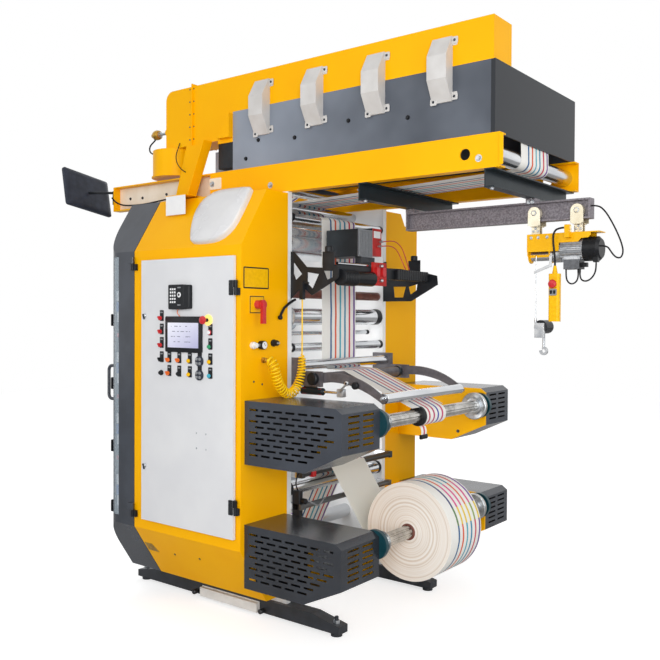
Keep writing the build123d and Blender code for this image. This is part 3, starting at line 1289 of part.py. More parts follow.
def switch_handle():
    """The isolator's red rotary grip."""
    grip = bar_x(SWITCH_Y, SWITCH_Z, SWITCH_BODY_X1 + 0.3, SWITCH_GRIP_X1, SWITCH_GRIP_R)
    grip += block(SWITCH_LEVER_X0, SWITCH_GRIP_X1 + 6, SWITCH_Y - SWITCH_LEVER_W / 2,
                  SWITCH_Y + SWITCH_LEVER_W / 2, SWITCH_LEVER_LOW, SWITCH_LEVER_HIGH)
    return [grip]


def air_fittings():
    """The pressure gauge, couplings, hose bracket and air gun on the reel-side face."""
    gauge = bar_x(GAUGE_Y, GAUGE_Z, 0, GAUGE_X1, GAUGE_R)
    gauge += bar_x(REGULATOR_Y, GAUGE_Z, 0, GAUGE_X1, REGULATOR_R)
    gauge += block(0, GAUGE_X1 - 8, REGULATOR_Y, GAUGE_Y, GAUGE_Z - 8, GAUGE_Z + 8)
    socket = bar_x(SOCKET_Y, SOCKET_Z, 0, SOCKET_X1, SOCKET_R)
    outlet = bar_x(OUTLET_Y, OUTLET_Z, 0, OUTLET_X1, OUTLET_R)
    return [gauge, socket, outlet]


def shell_cover():
    """The white moulded cover on the near bevel."""
    run, rise = BEVEL_TOP_IN, CABINET_TOP - BEVEL_HIGH_Z
    plane = Plane(origin=(0, -CABINET_OUT, BEVEL_HIGH_Z), x_dir=(1, 0, 0), z_dir=(0, -rise, run))
    face = make_face(Polyline(*COVER_OUTLINE, close=True))
    return [extrude(plane * face, amount=COVER_H)]


def monitor_mount():
    """The ball joint that holds the monitor on the rail's end."""
    x = LEFT_RAIL_X0 - MONITOR_POST_X
    y = -FRAME_OUT + RAIL_FLANGE / 2
    post = block(x, LEFT_RAIL_X0, y - MONITOR_POST_R, y + MONITOR_POST_R, MONITOR_POST_LOW, MONITOR_POST_HIGH)
    return [post + bar_z(x, y, MONITOR_POST_LOW, MONITOR_POST_HIGH, MONITOR_POST_R)]


def monitor():
    """The flat monitor with the arm that turns on the ball joint."""
    x = LEFT_RAIL_X0 - MONITOR_POST_X
    y = -FRAME_OUT + RAIL_FLANGE / 2
    panel_x, panel_y = x - MONITOR_BACK, y - MONITOR_SIDE
    arm_x = panel_x + 30
    low, high = MONITOR_ARM_LOW, MONITOR_ARM_HIGH
    tilt = Rot(0, 0, 8) * Rot(-7, 0, 0) * Rot(0, -16, 0)
    panel = Pos(panel_x, panel_y, MONITOR_Z) * tilt * Box(MONITOR_T, MONITOR_W, MONITOR_H)
    arm = block(arm_x, x + 5, y - 8, y + 8, low, high)
    arm += block(arm_x, arm_x + MONITOR_ARM_T, panel_y - 10, y + 8, low, high)
    arm += bar_x(panel_y, (low + high) / 2, panel_x, arm_x + MONITOR_ARM_T, 22)
    turn = bar_z(x, y, MONITOR_POST_HIGH + 0.3, high + 2, MONITOR_POST_R)
    return [panel + arm + turn]


def arc_radii(points, share=0.45):
    """The largest arc that each corner's two runs allow."""
    radii = []
    for a, b, c in zip(points, points[1:], points[2:]):
        first, second = Vector(*b) - Vector(*a), Vector(*c) - Vector(*b)
        turn = math.radians(first.get_angle(second))
        radii.append(share * min(first.length, second.length) / math.tan(turn / 2))
    return radii


def tube_along(points, radius):
    """A round cord along straight runs joined by tangent arcs."""
    path = FilletPolyline(*points, radius=arc_radii(points))
    section = Plane(origin=points[0], z_dir=Vector(*points[1]) - Vector(*points[0])) * Circle(radius)
    return sweep(section, path=path)


def air_gun():
    """The blow gun that hangs by its hook on the camera bracket."""
    body = block(GUN_X - GUN_HALF, GUN_X + GUN_HALF, GUN_Y - GUN_HALF, GUN_Y + GUN_HALF, GUN_LOW,
                 GUN_LOW + GUN_H)
    hook_z = GUN_LOW + GUN_HOOK_RISE
    body += block(GUN_X - GUN_HOOK_HALF, GUN_X + GUN_HOOK_HALF, GUN_Y + GUN_HALF, -FRAME_IN - BRACKET_OUT,
                  hook_z, hook_z + GUN_HOOK_H)
    body += bar_x(GUN_Y, GUN_LOW + NOZZLE_RISE, GUN_X, GUN_X + NOZZLE_L, NOZZLE_R)
    return [body]


PENDANT_ROUTE = [(PENDANT_X, PENDANT_Y, PENDANT_HIGH + PENDANT_BOOT_H), (PENDANT_X, PENDANT_Y, 2040),
                 (1395, PENDANT_Y - 1, 2084), (1390, PENDANT_Y - 1, 2128), (1391, PENDANT_Y, 2166),
                 (1412, PENDANT_Y, 2190), (CLAMP_X0, PENDANT_Y, 2190)]
LEFT_LOOP_ROUTE = [(1440, -20, BOX_LOW), (1440, -20, 1952), (1444, -18, 1927), (1460, -12, 1909),
                   (1481, -5, 1914), (GLAND_X - 4.5, 0, 1936), (GLAND_X - 4.5, 0, BOX_LOW - GLAND_H)]
RIGHT_LOOP_ROUTE = [(GLAND_X + 4.5, 0, BOX_LOW - GLAND_H), (GLAND_X + 4.5, 0, 1942), (1520, -5, 1925),
                    (1544, -13, 1922), (1570, -21, 1934), (1590, -28, 1958), (1597, -30, 1986),
                    (1597, -30, COWL_BOSS_LOW)]
FEED_ROUTE = [(BEAM_X1, -12, 2296), (1600, -12, 2296), (1634, -13, 2264), (1664, -15, 2216),
              (1692, -17, 2162), (1715, -19, 2108), (1727, -21, 2062), (1716, -22, 2030), (1690, -23, 2034),
              (1668, -24, 2062),
              (1648, -24, 2094), (COWL_X1, -24, 2094)]
COIL_ROUTE = [(OUTLET_X1, OUTLET_Y, OUTLET_Z), (62, -705, 1500), (84, -702, 1462), (89, -692, 1405),
              (89, -657, 1345),
              (90, -600, 1308), (92, -545, 1322), (96, -508, 1372), (99, -491, 1432), (GUN_X, GUN_Y, 1490),
              (GUN_X, GUN_Y, 1535)]


def pendant_cable():
    """The pendant's cable, up over the hoist frame."""
    return [tube_along(PENDANT_ROUTE, CABLE_R)]


def motor_cable_left():
    """The loop between the switch box and its gland."""
    return [tube_along(LEFT_LOOP_ROUTE, CABLE_R - 1)]


def motor_cable_right():
    """The loop from the gland to the fan cowl."""
    return [tube_along(RIGHT_LOOP_ROUTE, CABLE_R - 1)]


def feed_cable():
    """The supply cable from the beam's end to the motor."""
    return [tube_along(FEED_ROUTE, CABLE_R - 1)]


def air_hose_coil():
    """The coiled stretch of the air hose, as one tube of its outside diameter."""
    return [tube_along(COIL_ROUTE, COIL_R)]


def air_hose_line():
    """The straight stretch of the air hose up to the blow gun."""
    return [bar_z(COIL_ROUTE[-1][0], GUN_Y, COIL_ROUTE[-1][2], GUN_LOW, HOSE_R)]


NODES = {
    "frame_plates": frame_plates,
    "frame_ties": frame_ties,
    "near_cabinet": near_cabinet,
    "far_cabinet": far_cabinet,
    "outriggers": outriggers,
    "tunnel_rails": tunnel_rails,
    "left_rails": left_rails,
    "dryer_hood": dryer_hood,
    "hot_air_duct": hot_air_duct,
    "air_elbows": air_elbows,
    "blower_drum": blower_drum,
    "duct_struts": duct_struts,
    "cross_channels": cross_channels,
    "hoist_beam": hoist_beam,
    "paper_web": paper_web,
    "near_reel_guards": near_reel_guards,
    "far_reel_guards": far_reel_guards,
    "arm_plates": arm_plates,
    "shaft_collars": shaft_collars,
    "pivot_bearings": pivot_bearings,
    "camera_brackets": camera_brackets,
    "camera_unit": camera_unit,
    "shell_cover": shell_cover,
    "print_decks": print_decks,
    "idle_rollers": idle_rollers,
    "hinge_brackets": hinge_brackets,
    "main_switch": main_switch,
    "air_fittings": air_fittings,
    "monitor_mount": monitor_mount,
    "cabinet_door": cabinet_door,
    "door_controls": door_controls,
    "near_guard_frame": near_guard_frame,
    "near_guard_window": near_guard_window,
    "far_guard_frame": lambda: [mirrored(piece) for piece in near_guard_frame()],
    "far_guard_window": lambda: [mirrored(piece) for piece in near_guard_window()],
    "switch_handle": switch_handle,
    "unwind_shaft": lambda: reel_shaft(UNWIND_Z),
    "paper_roll": paper_roll,
    "rewind_shaft": lambda: reel_shaft(REWIND_Z),
    "rewind_roll": rewind_roll,
    "swing_arms": swing_arms,
    "layon_roller": layon_roller,
    "nip_roller": nip_roller,
    "web_roller": web_roller,
    "hoist_trolley": hoist_trolley,
    "hoist_motor": hoist_motor,
    "pendant": pendant,
    "hoist_rope": hoist_rope,
    "hook_block": hook_block,
    "monitor": monitor,
    "air_gun": air_gun,
    "pendant_cable": pendant_cable,
    "motor_cable_left": motor_cable_left,
    "motor_cable_right": motor_cable_right,
    "feed_cable": feed_cable,
    "air_hose_coil": air_hose_coil,
    "air_hose_line": air_hose_line,
}


CORDS = ("pendant_cable", "motor_cable_left", "motor_cable_right", "feed_cable", "air_hose_coil",
         "air_hose_line")


def build_nodes():
    """Every node's solids in the building frame."""
    return {name: make() for name, make in NODES.items()}


def row_origin(nodes):
    """The middle of the whole object's footprint on the floor, without its cords."""
    boxes = [piece.bounding_box() for name, pieces in nodes.items() if name not in CORDS for piece in pieces]
    x = (min(box.min.X for box in boxes) + max(box.max.X for box in boxes)) / 2
    y = (min(box.min.Y for box in boxes) + max(box.max.Y for box in boxes)) / 2
    return Vector(x, y, min(box.min.Z for box in boxes))


def main():
    nodes = build_nodes()
    origin = row_origin(nodes)
    os.makedirs("parts", exist_ok=True)
    for name, pieces in nodes.items():
        moved = [Pos(*(-origin)) * piece for piece in pieces]
        shape = moved[0] if len(moved) == 1 else Compound(children=moved)
        export_step(shape, os.path.join("parts", name + ".step"))
    print("row origin", tuple(round(value, 3) for value in origin))


if __name__ == "__main__":
    main()
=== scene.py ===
"""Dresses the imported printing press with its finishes, small fittings, hoses and cables."""
import math

import bpy
import numpy as np
from mathutils import Matrix, Vector


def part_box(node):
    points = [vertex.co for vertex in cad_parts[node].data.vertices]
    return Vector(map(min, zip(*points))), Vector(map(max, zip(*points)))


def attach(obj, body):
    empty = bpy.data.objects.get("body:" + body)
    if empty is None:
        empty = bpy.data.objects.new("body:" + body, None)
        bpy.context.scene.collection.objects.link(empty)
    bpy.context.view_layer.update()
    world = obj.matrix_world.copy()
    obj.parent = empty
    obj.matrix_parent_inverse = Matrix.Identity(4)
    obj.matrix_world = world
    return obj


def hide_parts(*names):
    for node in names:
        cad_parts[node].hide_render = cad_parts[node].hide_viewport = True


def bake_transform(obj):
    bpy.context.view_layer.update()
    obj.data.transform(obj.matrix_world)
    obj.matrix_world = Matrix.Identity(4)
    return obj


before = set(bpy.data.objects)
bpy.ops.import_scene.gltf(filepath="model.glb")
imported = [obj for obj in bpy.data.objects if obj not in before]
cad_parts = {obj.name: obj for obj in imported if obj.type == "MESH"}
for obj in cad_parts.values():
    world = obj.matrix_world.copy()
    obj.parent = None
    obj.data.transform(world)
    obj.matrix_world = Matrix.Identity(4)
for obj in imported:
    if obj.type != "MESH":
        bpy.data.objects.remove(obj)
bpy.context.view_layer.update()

# The building frame: X from the side plates' reel face, Y from the middle plane, Z from the floor, in millimetres.
PLATE_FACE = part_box("frame_plates")[1][0]
CABINET_FACE = 0.877
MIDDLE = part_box("near_cabinet")[0][1] + CABINET_FACE
MM = 0.001
ORIGIN = np.array([PLATE_FACE, MIDDLE, 0.0])


def at(x, y, z):
    """Millimetres from the side plates' reel face, the middle plane and the floor, as metres in the row frame."""
    return (PLATE_FACE + x * MM, MIDDLE + y * MM, z * MM)


# Camera and lamps. The camera was solved from the photograph's corner points.
CAMERA_PLACE = at(3037.4, -4041.4, 1739.7)
CAMERA_TURN = math.radians(37.65)
CAMERA_TILT = math.radians(-0.93)
CAMERA_ROLL = 0.0044
LENS_MM = 44.85
SENSOR_MM = 36.0
CENTRE = at(200, 0, 1500)
WORLD_STRENGTH = 0.5
# Place, target, width and height in metres, and watts of each lamp.
LAMPS = {
    "camera_side_lamp": (at(3500, -5200, 2300), CENTRE, (3.2, 3.2), 190),
    "left_lamp": (at(-1500, -6800, 4600), CENTRE, (4.5, 4.5), 70),
    "reel_side_lamp": (at(6800, -1200, 3600), CENTRE, (4.0, 4.0), 100),
    "back_lamp": (at(-4500, 5500, 5000), CENTRE, (4.0, 4.0), 110),
    "between_plates_lamp": (at(-370, -455, 1450), at(-370, 463, 1450), (0.6, 1.9), 9),
}


def place_camera():
    """The photograph's viewpoint, as a level camera turned, tipped and then rolled about its own line of sight."""
    data = bpy.data.cameras.new("photograph_view")
    data.lens = LENS_MM
    data.sensor_width = SENSOR_MM
    camera = bpy.data.objects.new("photograph_view", data)
    bpy.context.scene.collection.objects.link(camera)
    aim = Matrix.Rotation(CAMERA_TURN, 4, "Z") @ Matrix.Rotation(math.pi / 2 + CAMERA_TILT, 4, "X")
    camera.matrix_world = Matrix.Translation(CAMERA_PLACE) @ aim @ Matrix.Rotation(CAMERA_ROLL, 4, "Z")
    bpy.context.scene.camera = camera


def place_lamp(name, place, target, size, watts):
    """One soft oblong lamp aimed at a target, itself out of the camera's sight."""
    data = bpy.data.lights.new(name, "AREA")
    data.shape = "RECTANGLE"
    data.size, data.size_y = size
    data.energy = watts
    lamp = bpy.data.objects.new(name, data)
    bpy.context.scene.collection.objects.link(lamp)
    lamp.visible_camera = False
    line = Vector(target) - Vector(place)
    lamp.matrix_world = Matrix.Translation(place) @ line.to_track_quat("-Z", "Y").to_matrix().to_4x4()


def tint(code):
    """A six-digit sRGB hex colour as linear red, green, blue and alpha."""
    parts = np.array([int(code[i:i + 2], 16) for i in (0, 2, 4)]) / 255
    linear = np.where(parts <= 0.04045, parts / 12.92, ((parts + 0.055) / 1.055) ** 2.4)
    return (*linear.tolist(), 1.0)


def add(tree, kind, sockets=None, **settings):
    """Adds one shader node, with its settings, and fills or links its sockets by name or number."""
    made = tree.nodes.new("ShaderNode" + kind)
    for name, value in settings.items():
        setattr(made, name, value)
    for name, value in (sockets or {}).items():
        if isinstance(value, bpy.types.NodeSocket):
            tree.links.new(value, made.inputs[name])
        else:
            made.inputs[name].default_value = value
    return made


def light_the_world():
    """A grey sky for the surfaces, which the camera, gloss and glass see as white."""
    world = bpy.data.worlds.new("studio")
    world.use_nodes = True
    tree = world.node_tree
    tree.nodes.clear()
    rays = add(tree, "LightPath")
    seen = add(tree, "Math", {0: rays.outputs["Is Camera Ray"], 1: rays.outputs["Is Glossy Ray"]},
               operation="ADD", use_clamp=True)
    seen = add(tree, "Math", {0: seen.outputs[0], 1: rays.outputs["Is Transmission Ray"]},
               operation="ADD", use_clamp=True)
    strength = add(tree, "Mix", {0: seen.outputs[0], 2: WORLD_STRENGTH, 3: 1.0})
    sky = add(tree, "Background", {"Color": tint("FFFFFF"), "Strength": strength.outputs[0]})
    add(tree, "OutputWorld", {"Surface": sky.outputs[0]})
    bpy.context.scene.world = world


place_camera()
light_the_world()
for lamp_name, settings in LAMPS.items():
    place_lamp(lamp_name, *settings)
bpy.context.scene.view_settings.view_transform = "Standard"


# Finishes
def new_material(name):
    """An empty node material and its tree."""
    material = bpy.data.materials.new(name)
    material.use_nodes = True
    material.node_tree.nodes.clear()
    return material, material.node_tree


def speckle(tree, size_mm, detail=2.0, stretch=None):
    """Noise on object coordinates with lumps of the given size, lengthened along an axis where stretch asks."""
    place = add(tree, "TexCoord").outputs["Object"]
    if stretch:
        place = add(tree, "Mapping", {"Vector": place, "Scale": stretch}).outputs[0]
    return add(tree, "TexNoise", {"Vector": place, "Scale": 1 / (size_mm * MM), "Detail": detail}).outputs["Fac"]


def inside_box(tree, low, high):
    """1 where a point lies between two corners, else 0.
    It lies there when the largest part of |point - centre| - half size is below 0."""
    low, high = np.array(at(*low)), np.array(at(*high))
    place = add(tree, "TexCoord").outputs["Object"]
    apart = add(tree, "VectorMath", {0: place, 1: tuple((low + high) / 2)}, operation="SUBTRACT").outputs[0]
    apart = add(tree, "VectorMath", {0: apart}, operation="ABSOLUTE").outputs[0]
    apart = add(tree, "VectorMath", {0: apart, 1: tuple((high - low) / 2)}, operation="SUBTRACT").outputs[0]
    each = add(tree, "SeparateXYZ", {0: apart}).outputs
    widest = add(tree, "Math", {0: each["X"], 1: each["Y"]}, operation="MAXIMUM").outputs[0]
    widest = add(tree, "Math", {0: widest, 1: each["Z"]}, operation="MAXIMUM").outputs[0]
    return add(tree, "Math", {0: widest, 1: 0.0}, operation="LESS_THAN").outputs[0]


# How much rougher the second colour's lumps are, and the radius that sharp edges are softened to in millimetres.
ROUGH_SWING = 0.06
EDGE_MM = 1.2


def finish(name, base, second, lump_mm, roughness, grain_mm, grain_depth_mm, stretch=None, metal=0.0, zones=(),
           run=None, **shader):
    """Two close colours in soft lumps, whose roughness follows the lumps, with a fine raised grain.
    A zone is a box of millimetres with colours, roughness and metal of its own, for a part in another finish, and on
    some paints shade.
    A run of two places along X, in millimetres, leads from the first colour to the second in place of half of the
    lumps, as a painted sheen that falls into shade."""
    material, tree = new_material(name)
    lumps = speckle(tree, lump_mm, 3.0, stretch)
    fade = add(tree, "MapRange", {"Value": lumps, "From Min": 0.35, "From Max": 0.65}).outputs[0]
    if run:
        along = add(tree, "SeparateXYZ", {0: add(tree, "TexCoord").outputs["Object"]}).outputs["X"]
        along = add(tree, "MapRange", {"Value": along, "From Min": PLATE_FACE + run[0] * MM,
                                       "From Max": PLATE_FACE + run[1] * MM}).outputs[0]
        fade = add(tree, "Mix", {0: 0.2, 2: along, 3: fade}).outputs[0]
    colour = add(tree, "Mix", {0: fade, 6: tint(base), 7: tint(second)}, data_type="RGBA").outputs[2]
    rough = add(tree, "MapRange", {"Value": lumps, "From Min": 0.3, "From Max": 0.7, "To Min": roughness,
                                   "To Max": roughness + ROUGH_SWING}).outputs[0]
    for low, high, zone_base, zone_second, zone_rough, zone_metal in zones:
        inside = inside_box(tree, low, high)
        own = add(tree, "Mix", {0: fade, 6: tint(zone_base), 7: tint(zone_second)}, data_type="RGBA").outputs[2]
        colour = add(tree, "Mix", {0: inside, 6: colour, 7: own}, data_type="RGBA").outputs[2]
        rough = add(tree, "Mix", {0: inside, 2: rough, 3: zone_rough}).outputs[0]
        metal = add(tree, "Mix", {0: inside, 2: metal, 3: zone_metal}).outputs[0]
    grain = speckle(tree, grain_mm, 1.0, stretch)
    edge = add(tree, "Bevel", {"Radius": EDGE_MM * MM}, samples=4)
    bump = add(tree, "Bump", {"Height": grain, "Distance": grain_depth_mm * MM, "Strength": 0.6,
                              "Normal": edge.outputs[0]})
    sockets = {"Base Color": colour, "Roughness": rough, "Metallic": metal, "Normal": bump.outputs[0]}
    sockets.update(shader)
    body = add(tree, "BsdfPrincipled", sockets)
    add(tree, "OutputMaterial", {"Surface": body.outputs[0]})
    return material


# Gloss below the shader's usual half, for paint and plastic that show little of the lamps.
SOFT_SHINE = {"Specular IOR Level": 0.2}
DULL_SHINE = {"Specular IOR Level": 0.1}
# Finishes for one part of a solid in several: two colours, roughness and metal.
ZINC = ("C9CACB", "A9ACB0", 0.34, 0.85)
CREAM = ("E4DCC6", "C2B79C", 0.26, 0.6)
BLACK = ("131416", "1B1C1F", 0.3, 0.0)
RED = ("C4201C", "A81915", 0.34, 0.0)

# Powder coat, sprayed and baked: a smooth skin with a faint ripple, glossy on the yellow and satin on the greys.
# The graphite's zone is painted shade: it darkens the lower reel guard, which lies in shade. The slate's zone is
# painted shade on the hood's far end.
yellow_enamel = finish("yellow_gloss_powder_coat", "FCB900", "FAB300", 400, 0.34, 9, 0.03, **DULL_SHINE)
graphite_enamel_and_painted_shade = finish("graphite_gloss_powder_coat_with_painted_shade", "3E434C", "343840", 220, 0.2, 7, 0.02, zones=[
    ((-10, -860, 270), (700, -500, 630), "30343B", "282B31", 0.2, 0.0)])
# The hood's run paints a sheen at its left that falls into shade at its right; its zone paints shade on the far end.
slate_enamel_with_painted_sheen_and_shade = finish("blue_grey_satin_powder_coat_with_painted_sheen_and_shade", "A2ABB9", "393D45", 500, 0.34, 5, 0.04, zones=[
    ((1256, -600, 2600), (1400, 600, 3000), "30343A", "25282D", 0.34, 0.0)], run=(-700, 900), **SOFT_SHINE)
liner_enamel = finish("white_satin_powder_coat", "F1F2F2", "E9EBEC", 260, 0.38, 6, 0.03)
pale_enamel = finish("light_grey_gloss_enamel", "CFCDCB", "C3C0BD", 120, 0.32, 6, 0.03)
cream_enamel = finish("cream_gloss_enamel", "F1E7D6", "E8DCC6", 90, 0.32, 6, 0.04)
black_enamel = finish("black_semi_gloss_enamel", "1B1D21", "24272B", 80, 0.34, 5, 0.05, **SOFT_SHINE)
channel_enamel = finish("blue_black_gloss_enamel", "1C282E", "172126", 120, 0.28, 5, 0.04, **SOFT_SHINE)
teal_enamel = finish("teal_gloss_enamel", "0B3F49", "08343D", 60, 0.28, 6, 0.04)
# Sand-cast iron under grey paint: a coarse skin that catches light unevenly.
arm_casting = finish("grey_painted_cast_iron", "5F5B5F", "4C494D", 40, 0.44, 3, 0.2)
# Ground hard chrome: near mirror, with faint turning marks round each roller, and oiled bars beside it.
hard_chrome = finish("ground_hard_chrome", "DFE1E3", "C6C9CD", 60, 0.16, 2, 0.01, metal=1.0,
                     stretch=(1.0, 0.15, 1.0),
                     zones=[((40, -470, 815), (90, 470, 870), "4A4D51", "3C3F43", 0.4, 0.6),
                            ((42, -470, 636), (80, 470, 676), "6C6F72", "55585C", 0.4, 0.6)])
shaft_chrome = finish("turned_fluted_shaft_steel", "CFCDC9", "A9A6A1", 50, 0.2, 2, 0.02, metal=1.0,
                      zones=[((520, 588, 300), (700, 640, 1300), *BLACK)])
dark_steel = finish("oiled_dark_steel", "53565B", "3C3F44", 30, 0.34, 2, 0.03, metal=0.9)
zinc_steel = finish("bright_zinc_plated_steel", "C6C9CC", "A4A9AE", 18, 0.28, 2, 0.02, metal=0.9)
brass = finish("turned_brass", "C9A24A", "A97F2E", 14, 0.3, 2, 0.03, metal=0.9)
# Hot-dip zinc: crystals of zinc as cells of a few millimetres, drawn at 9 mm so that they show.
galvanised_steel = finish("hot_dip_galvanised_steel", "8C868C", "676268", 9, 0.45, 4, 0.05, metal=0.3)
brown_rubber = finish("ground_brown_rubber", "7B4335", "5E3028", 40, 0.42, 2, 0.04)
black_rubber = finish("black_rubber", "141417", "1B1B1F", 30, 0.45, 2, 0.06, **SOFT_SHINE)
# Moulded plastics: even colour with a fine spark-eroded texture.
black_plastic = finish("black_moulded_abs", "18191C", "1F2125", 20, 0.34, 1.5, 0.05, **SOFT_SHINE)
slate_plastic = finish("slate_moulded_abs", "343946", "2A2E38", 60, 0.42, 2, 0.05, **SOFT_SHINE)
grey_plastic = finish("grey_moulded_abs", "8A8D91", "7E8185", 20, 0.42, 1.5, 0.05)
white_plastic = finish("white_moulded_abs", "ECEDEE", "E6E7E9", 60, 0.3, 3, 0.02)
cover_plastic = finish("pale_grey_moulded_cover", "DCDCDD", "D4D4D6", 160, 0.24, 6, 0.02)
red_plastic = finish("red_moulded_abs", "CE1F26", "B8181E", 10, 0.3, 1.5, 0.03)
yellow_plastic = finish("yellow_moulded_abs", "F5BE08", "ECB200", 14, 0.32, 1.5, 0.03, **SOFT_SHINE)
green_plastic = finish("green_moulded_abs", "1E9A66", "178656", 10, 0.3, 1.5, 0.03)
cyan_plastic = finish("cyan_moulded_abs", "3FB2C9", "309EB6", 10, 0.3, 1.5, 0.03)
blue_plastic = finish("blue_moulded_abs", "2F5FB0", "274F96", 10, 0.3, 1.5, 0.03)
orange_plastic = finish("orange_moulded_abs", "EE7426", "DD6518", 10, 0.3, 1.5, 0.03)
yellow_hose = finish("yellow_polyurethane_hose", "FFD60A", "FACB00", 12, 0.28, 2, 0.02)
red_cable = finish("red_pvc_cable", "D2482A", "BE3C20", 12, 0.4, 2, 0.02)
lit_amber = finish("lit_amber_lens", "FFE49A", "FFD870", 20, 0.2, 2, 0.01, **{"Emission Color": tint("FFD25A"),
                                                                             "Emission Strength": 0.55})
# Painted and plated parts that the model keeps in one solid, each told apart by where it is.
hoist_finish = finish("hoist_enamel_and_zinc", "F4B908", "EDAF00", 120, 0.3, 6, 0.03, zones=[
    ((1230, -60, 2169), (1560, 60, 2330), *CREAM),
    ((1270, -39.5, 1950), (1352, -30, 2075), *ZINC), ((1250, -23, 2030), (1356, 23, 2081), *ZINC),
    ((1352, -39.5, 1950), (1392, -32, 2075), *ZINC)], **SOFT_SHINE)
motor_finish = finish("die_cast_aluminium_and_black_cowl", "BFC1C4", "9DA0A4", 14, 0.36, 2, 0.08, metal=0.8, zones=[
    ((1533, -70, 2015), (1620, 70, 2150), *BLACK),
    ((1425, -40, 1960), (1517, 40, 2033), "6A6C70", "5A5C60", 0.42, 0.1),
    ((1513, -40, 1985), (1550, 40, 2022), *BLACK), ((1580, -45, 2010), (1612, -15, 2060), *BLACK),
    ((1485, -15, 1960), (1515, 15, 1985), *BLACK)], **SOFT_SHINE)
hook_finish = finish("hook_enamel_and_zinc", "17181B", "26272B", 30, 0.3, 3, 0.05, zones=[
    ((1280, -60, 1630), (1340, -34.5, 1720), *ZINC), ((1280, -60, 1500), (1340, 40, 1655), *ZINC),
    ((1270, -40, 1685), (1292, -15, 1740), *ZINC)], **SOFT_SHINE)
camera_finish = finish("slate_enamel_and_red_lamp", "1A2126", "151A1F", 60, 0.32, 3, 0.04, zones=[
    ((20, -34.5, 2085), (262, 70, 2270), *RED), ((258, -180, 2085), (262, -34, 2255), "8E9196", "7C7F84", 0.4, 0.5),
    ((331, -150, 1915), (350, -5, 2062), *RED), ((200, -150, 2026), (331, -5, 2089), "25282D", "3A3D42", 0.3, 0.4),
    ((280, -445, 1900), (380, -147, 2000), "14181B", "101316", 0.25, 0.0)], **SOFT_SHINE)
switch_finish = finish("yellow_plate_and_black_body", "F3BB0A", "EAB000", 30, 0.36, 2, 0.04, zones=[
    ((8, -800, 1760), (60, -720, 1850), "D23A44", "B82832", 0.3, 0.0)])
door_finish = finish("pale_grey_door_powder_coat", "DEDFE1", "D8D9DC", 260, 0.4, 5, 0.03, zones=[
    ((-33.5, -920, 660), (10, -870, 770), *BLACK), ((-33.5, -920, 1840), (10, -870, 1940), *BLACK)], **SOFT_SHINE)
foot_finish = finish("graphite_feet_and_white_sill", "33363C", "2A2D32", 80, 0.36, 5, 0.06, zones=[
    ((-665, -560, 15), (-188, -519, 80), "ECECEA", "E0E0DE", 0.4, 0.0)])
deck_finish = finish("deck_chrome_and_coloured_ink_trays", "C3C7CC", "8E959E", 90, 0.2, 2, 0.02, metal=0.9, zones=[
    ((-1120, -480, 400), (-930, 480, 540), "3D5E9C", "2F4C86", 0.4, 0.0),
    ((-1120, -480, 850), (-930, 480, 915), "B23A3A", "9A2E2E", 0.4, 0.0),
    ((-1120, -480, 1230), (-930, 480, 1290), "3D6FB2", "315C99", 0.4, 0.0),
    ((-1120, -480, 1600), (-930, 480, 1668), "D9B33A", "C9A22C", 0.4, 0.0)])


def clear_sheet():
    """Clear polycarbonate: mostly see-through with a faint cool body, and gloss that grows towards its edge."""
    material, tree = new_material("clear_polycarbonate_sheet")
    haze = add(tree, "MapRange", {"Value": speckle(tree, 300), "To Min": 0.03, "To Max": 0.10})
    body = add(tree, "BsdfPrincipled", {"Base Color": tint("C9D8E4"), "Roughness": haze.outputs[0],
                                        "IOR": 1.58, "Alpha": 0.34})
    add(tree, "OutputMaterial", {"Surface": body.outputs[0]})
    return material


# Printed lines: their count, first edge and pitch across the web in metres, and the inked share of the pitch.
LINE_COUNT = 6
LINE_START = -0.110
LINE_PITCH = 0.047
LINE_SHARE = 0.34
LINE_WAVER = 0.004
CREASES_PER_M = 90.0
# Half the width of the box round a roll's axis within which its paper is inked, in millimetres.
ROLL_REACH = 400
WEB_INKS = ("35618F", "DB5B35", "4FA9BC", "3B86A8", "CB4352", "6A4E96")
REEL_INKS = ("3A4778", "C9566A", "B43A68", "4A4FA0", "C4406E", "D9A43C")
PINK_INKS = ("3A3F70", "D8508E", "D8508E", "DB6A4A", "D8508E", "6A4E96")
GOLD_INKS = ("5A7A48", "E5C63C", "E5C63C", "E5C63C", "8BA050", "E5C63C")
INK_ZONES = [(REEL_INKS, (60, -300, 1040), (900, 300, 1500)), (PINK_INKS, (60, -300, 700), (1100, 300, 800)),
             (GOLD_INKS, (60, -300, 610), (1100, 300, 700))]


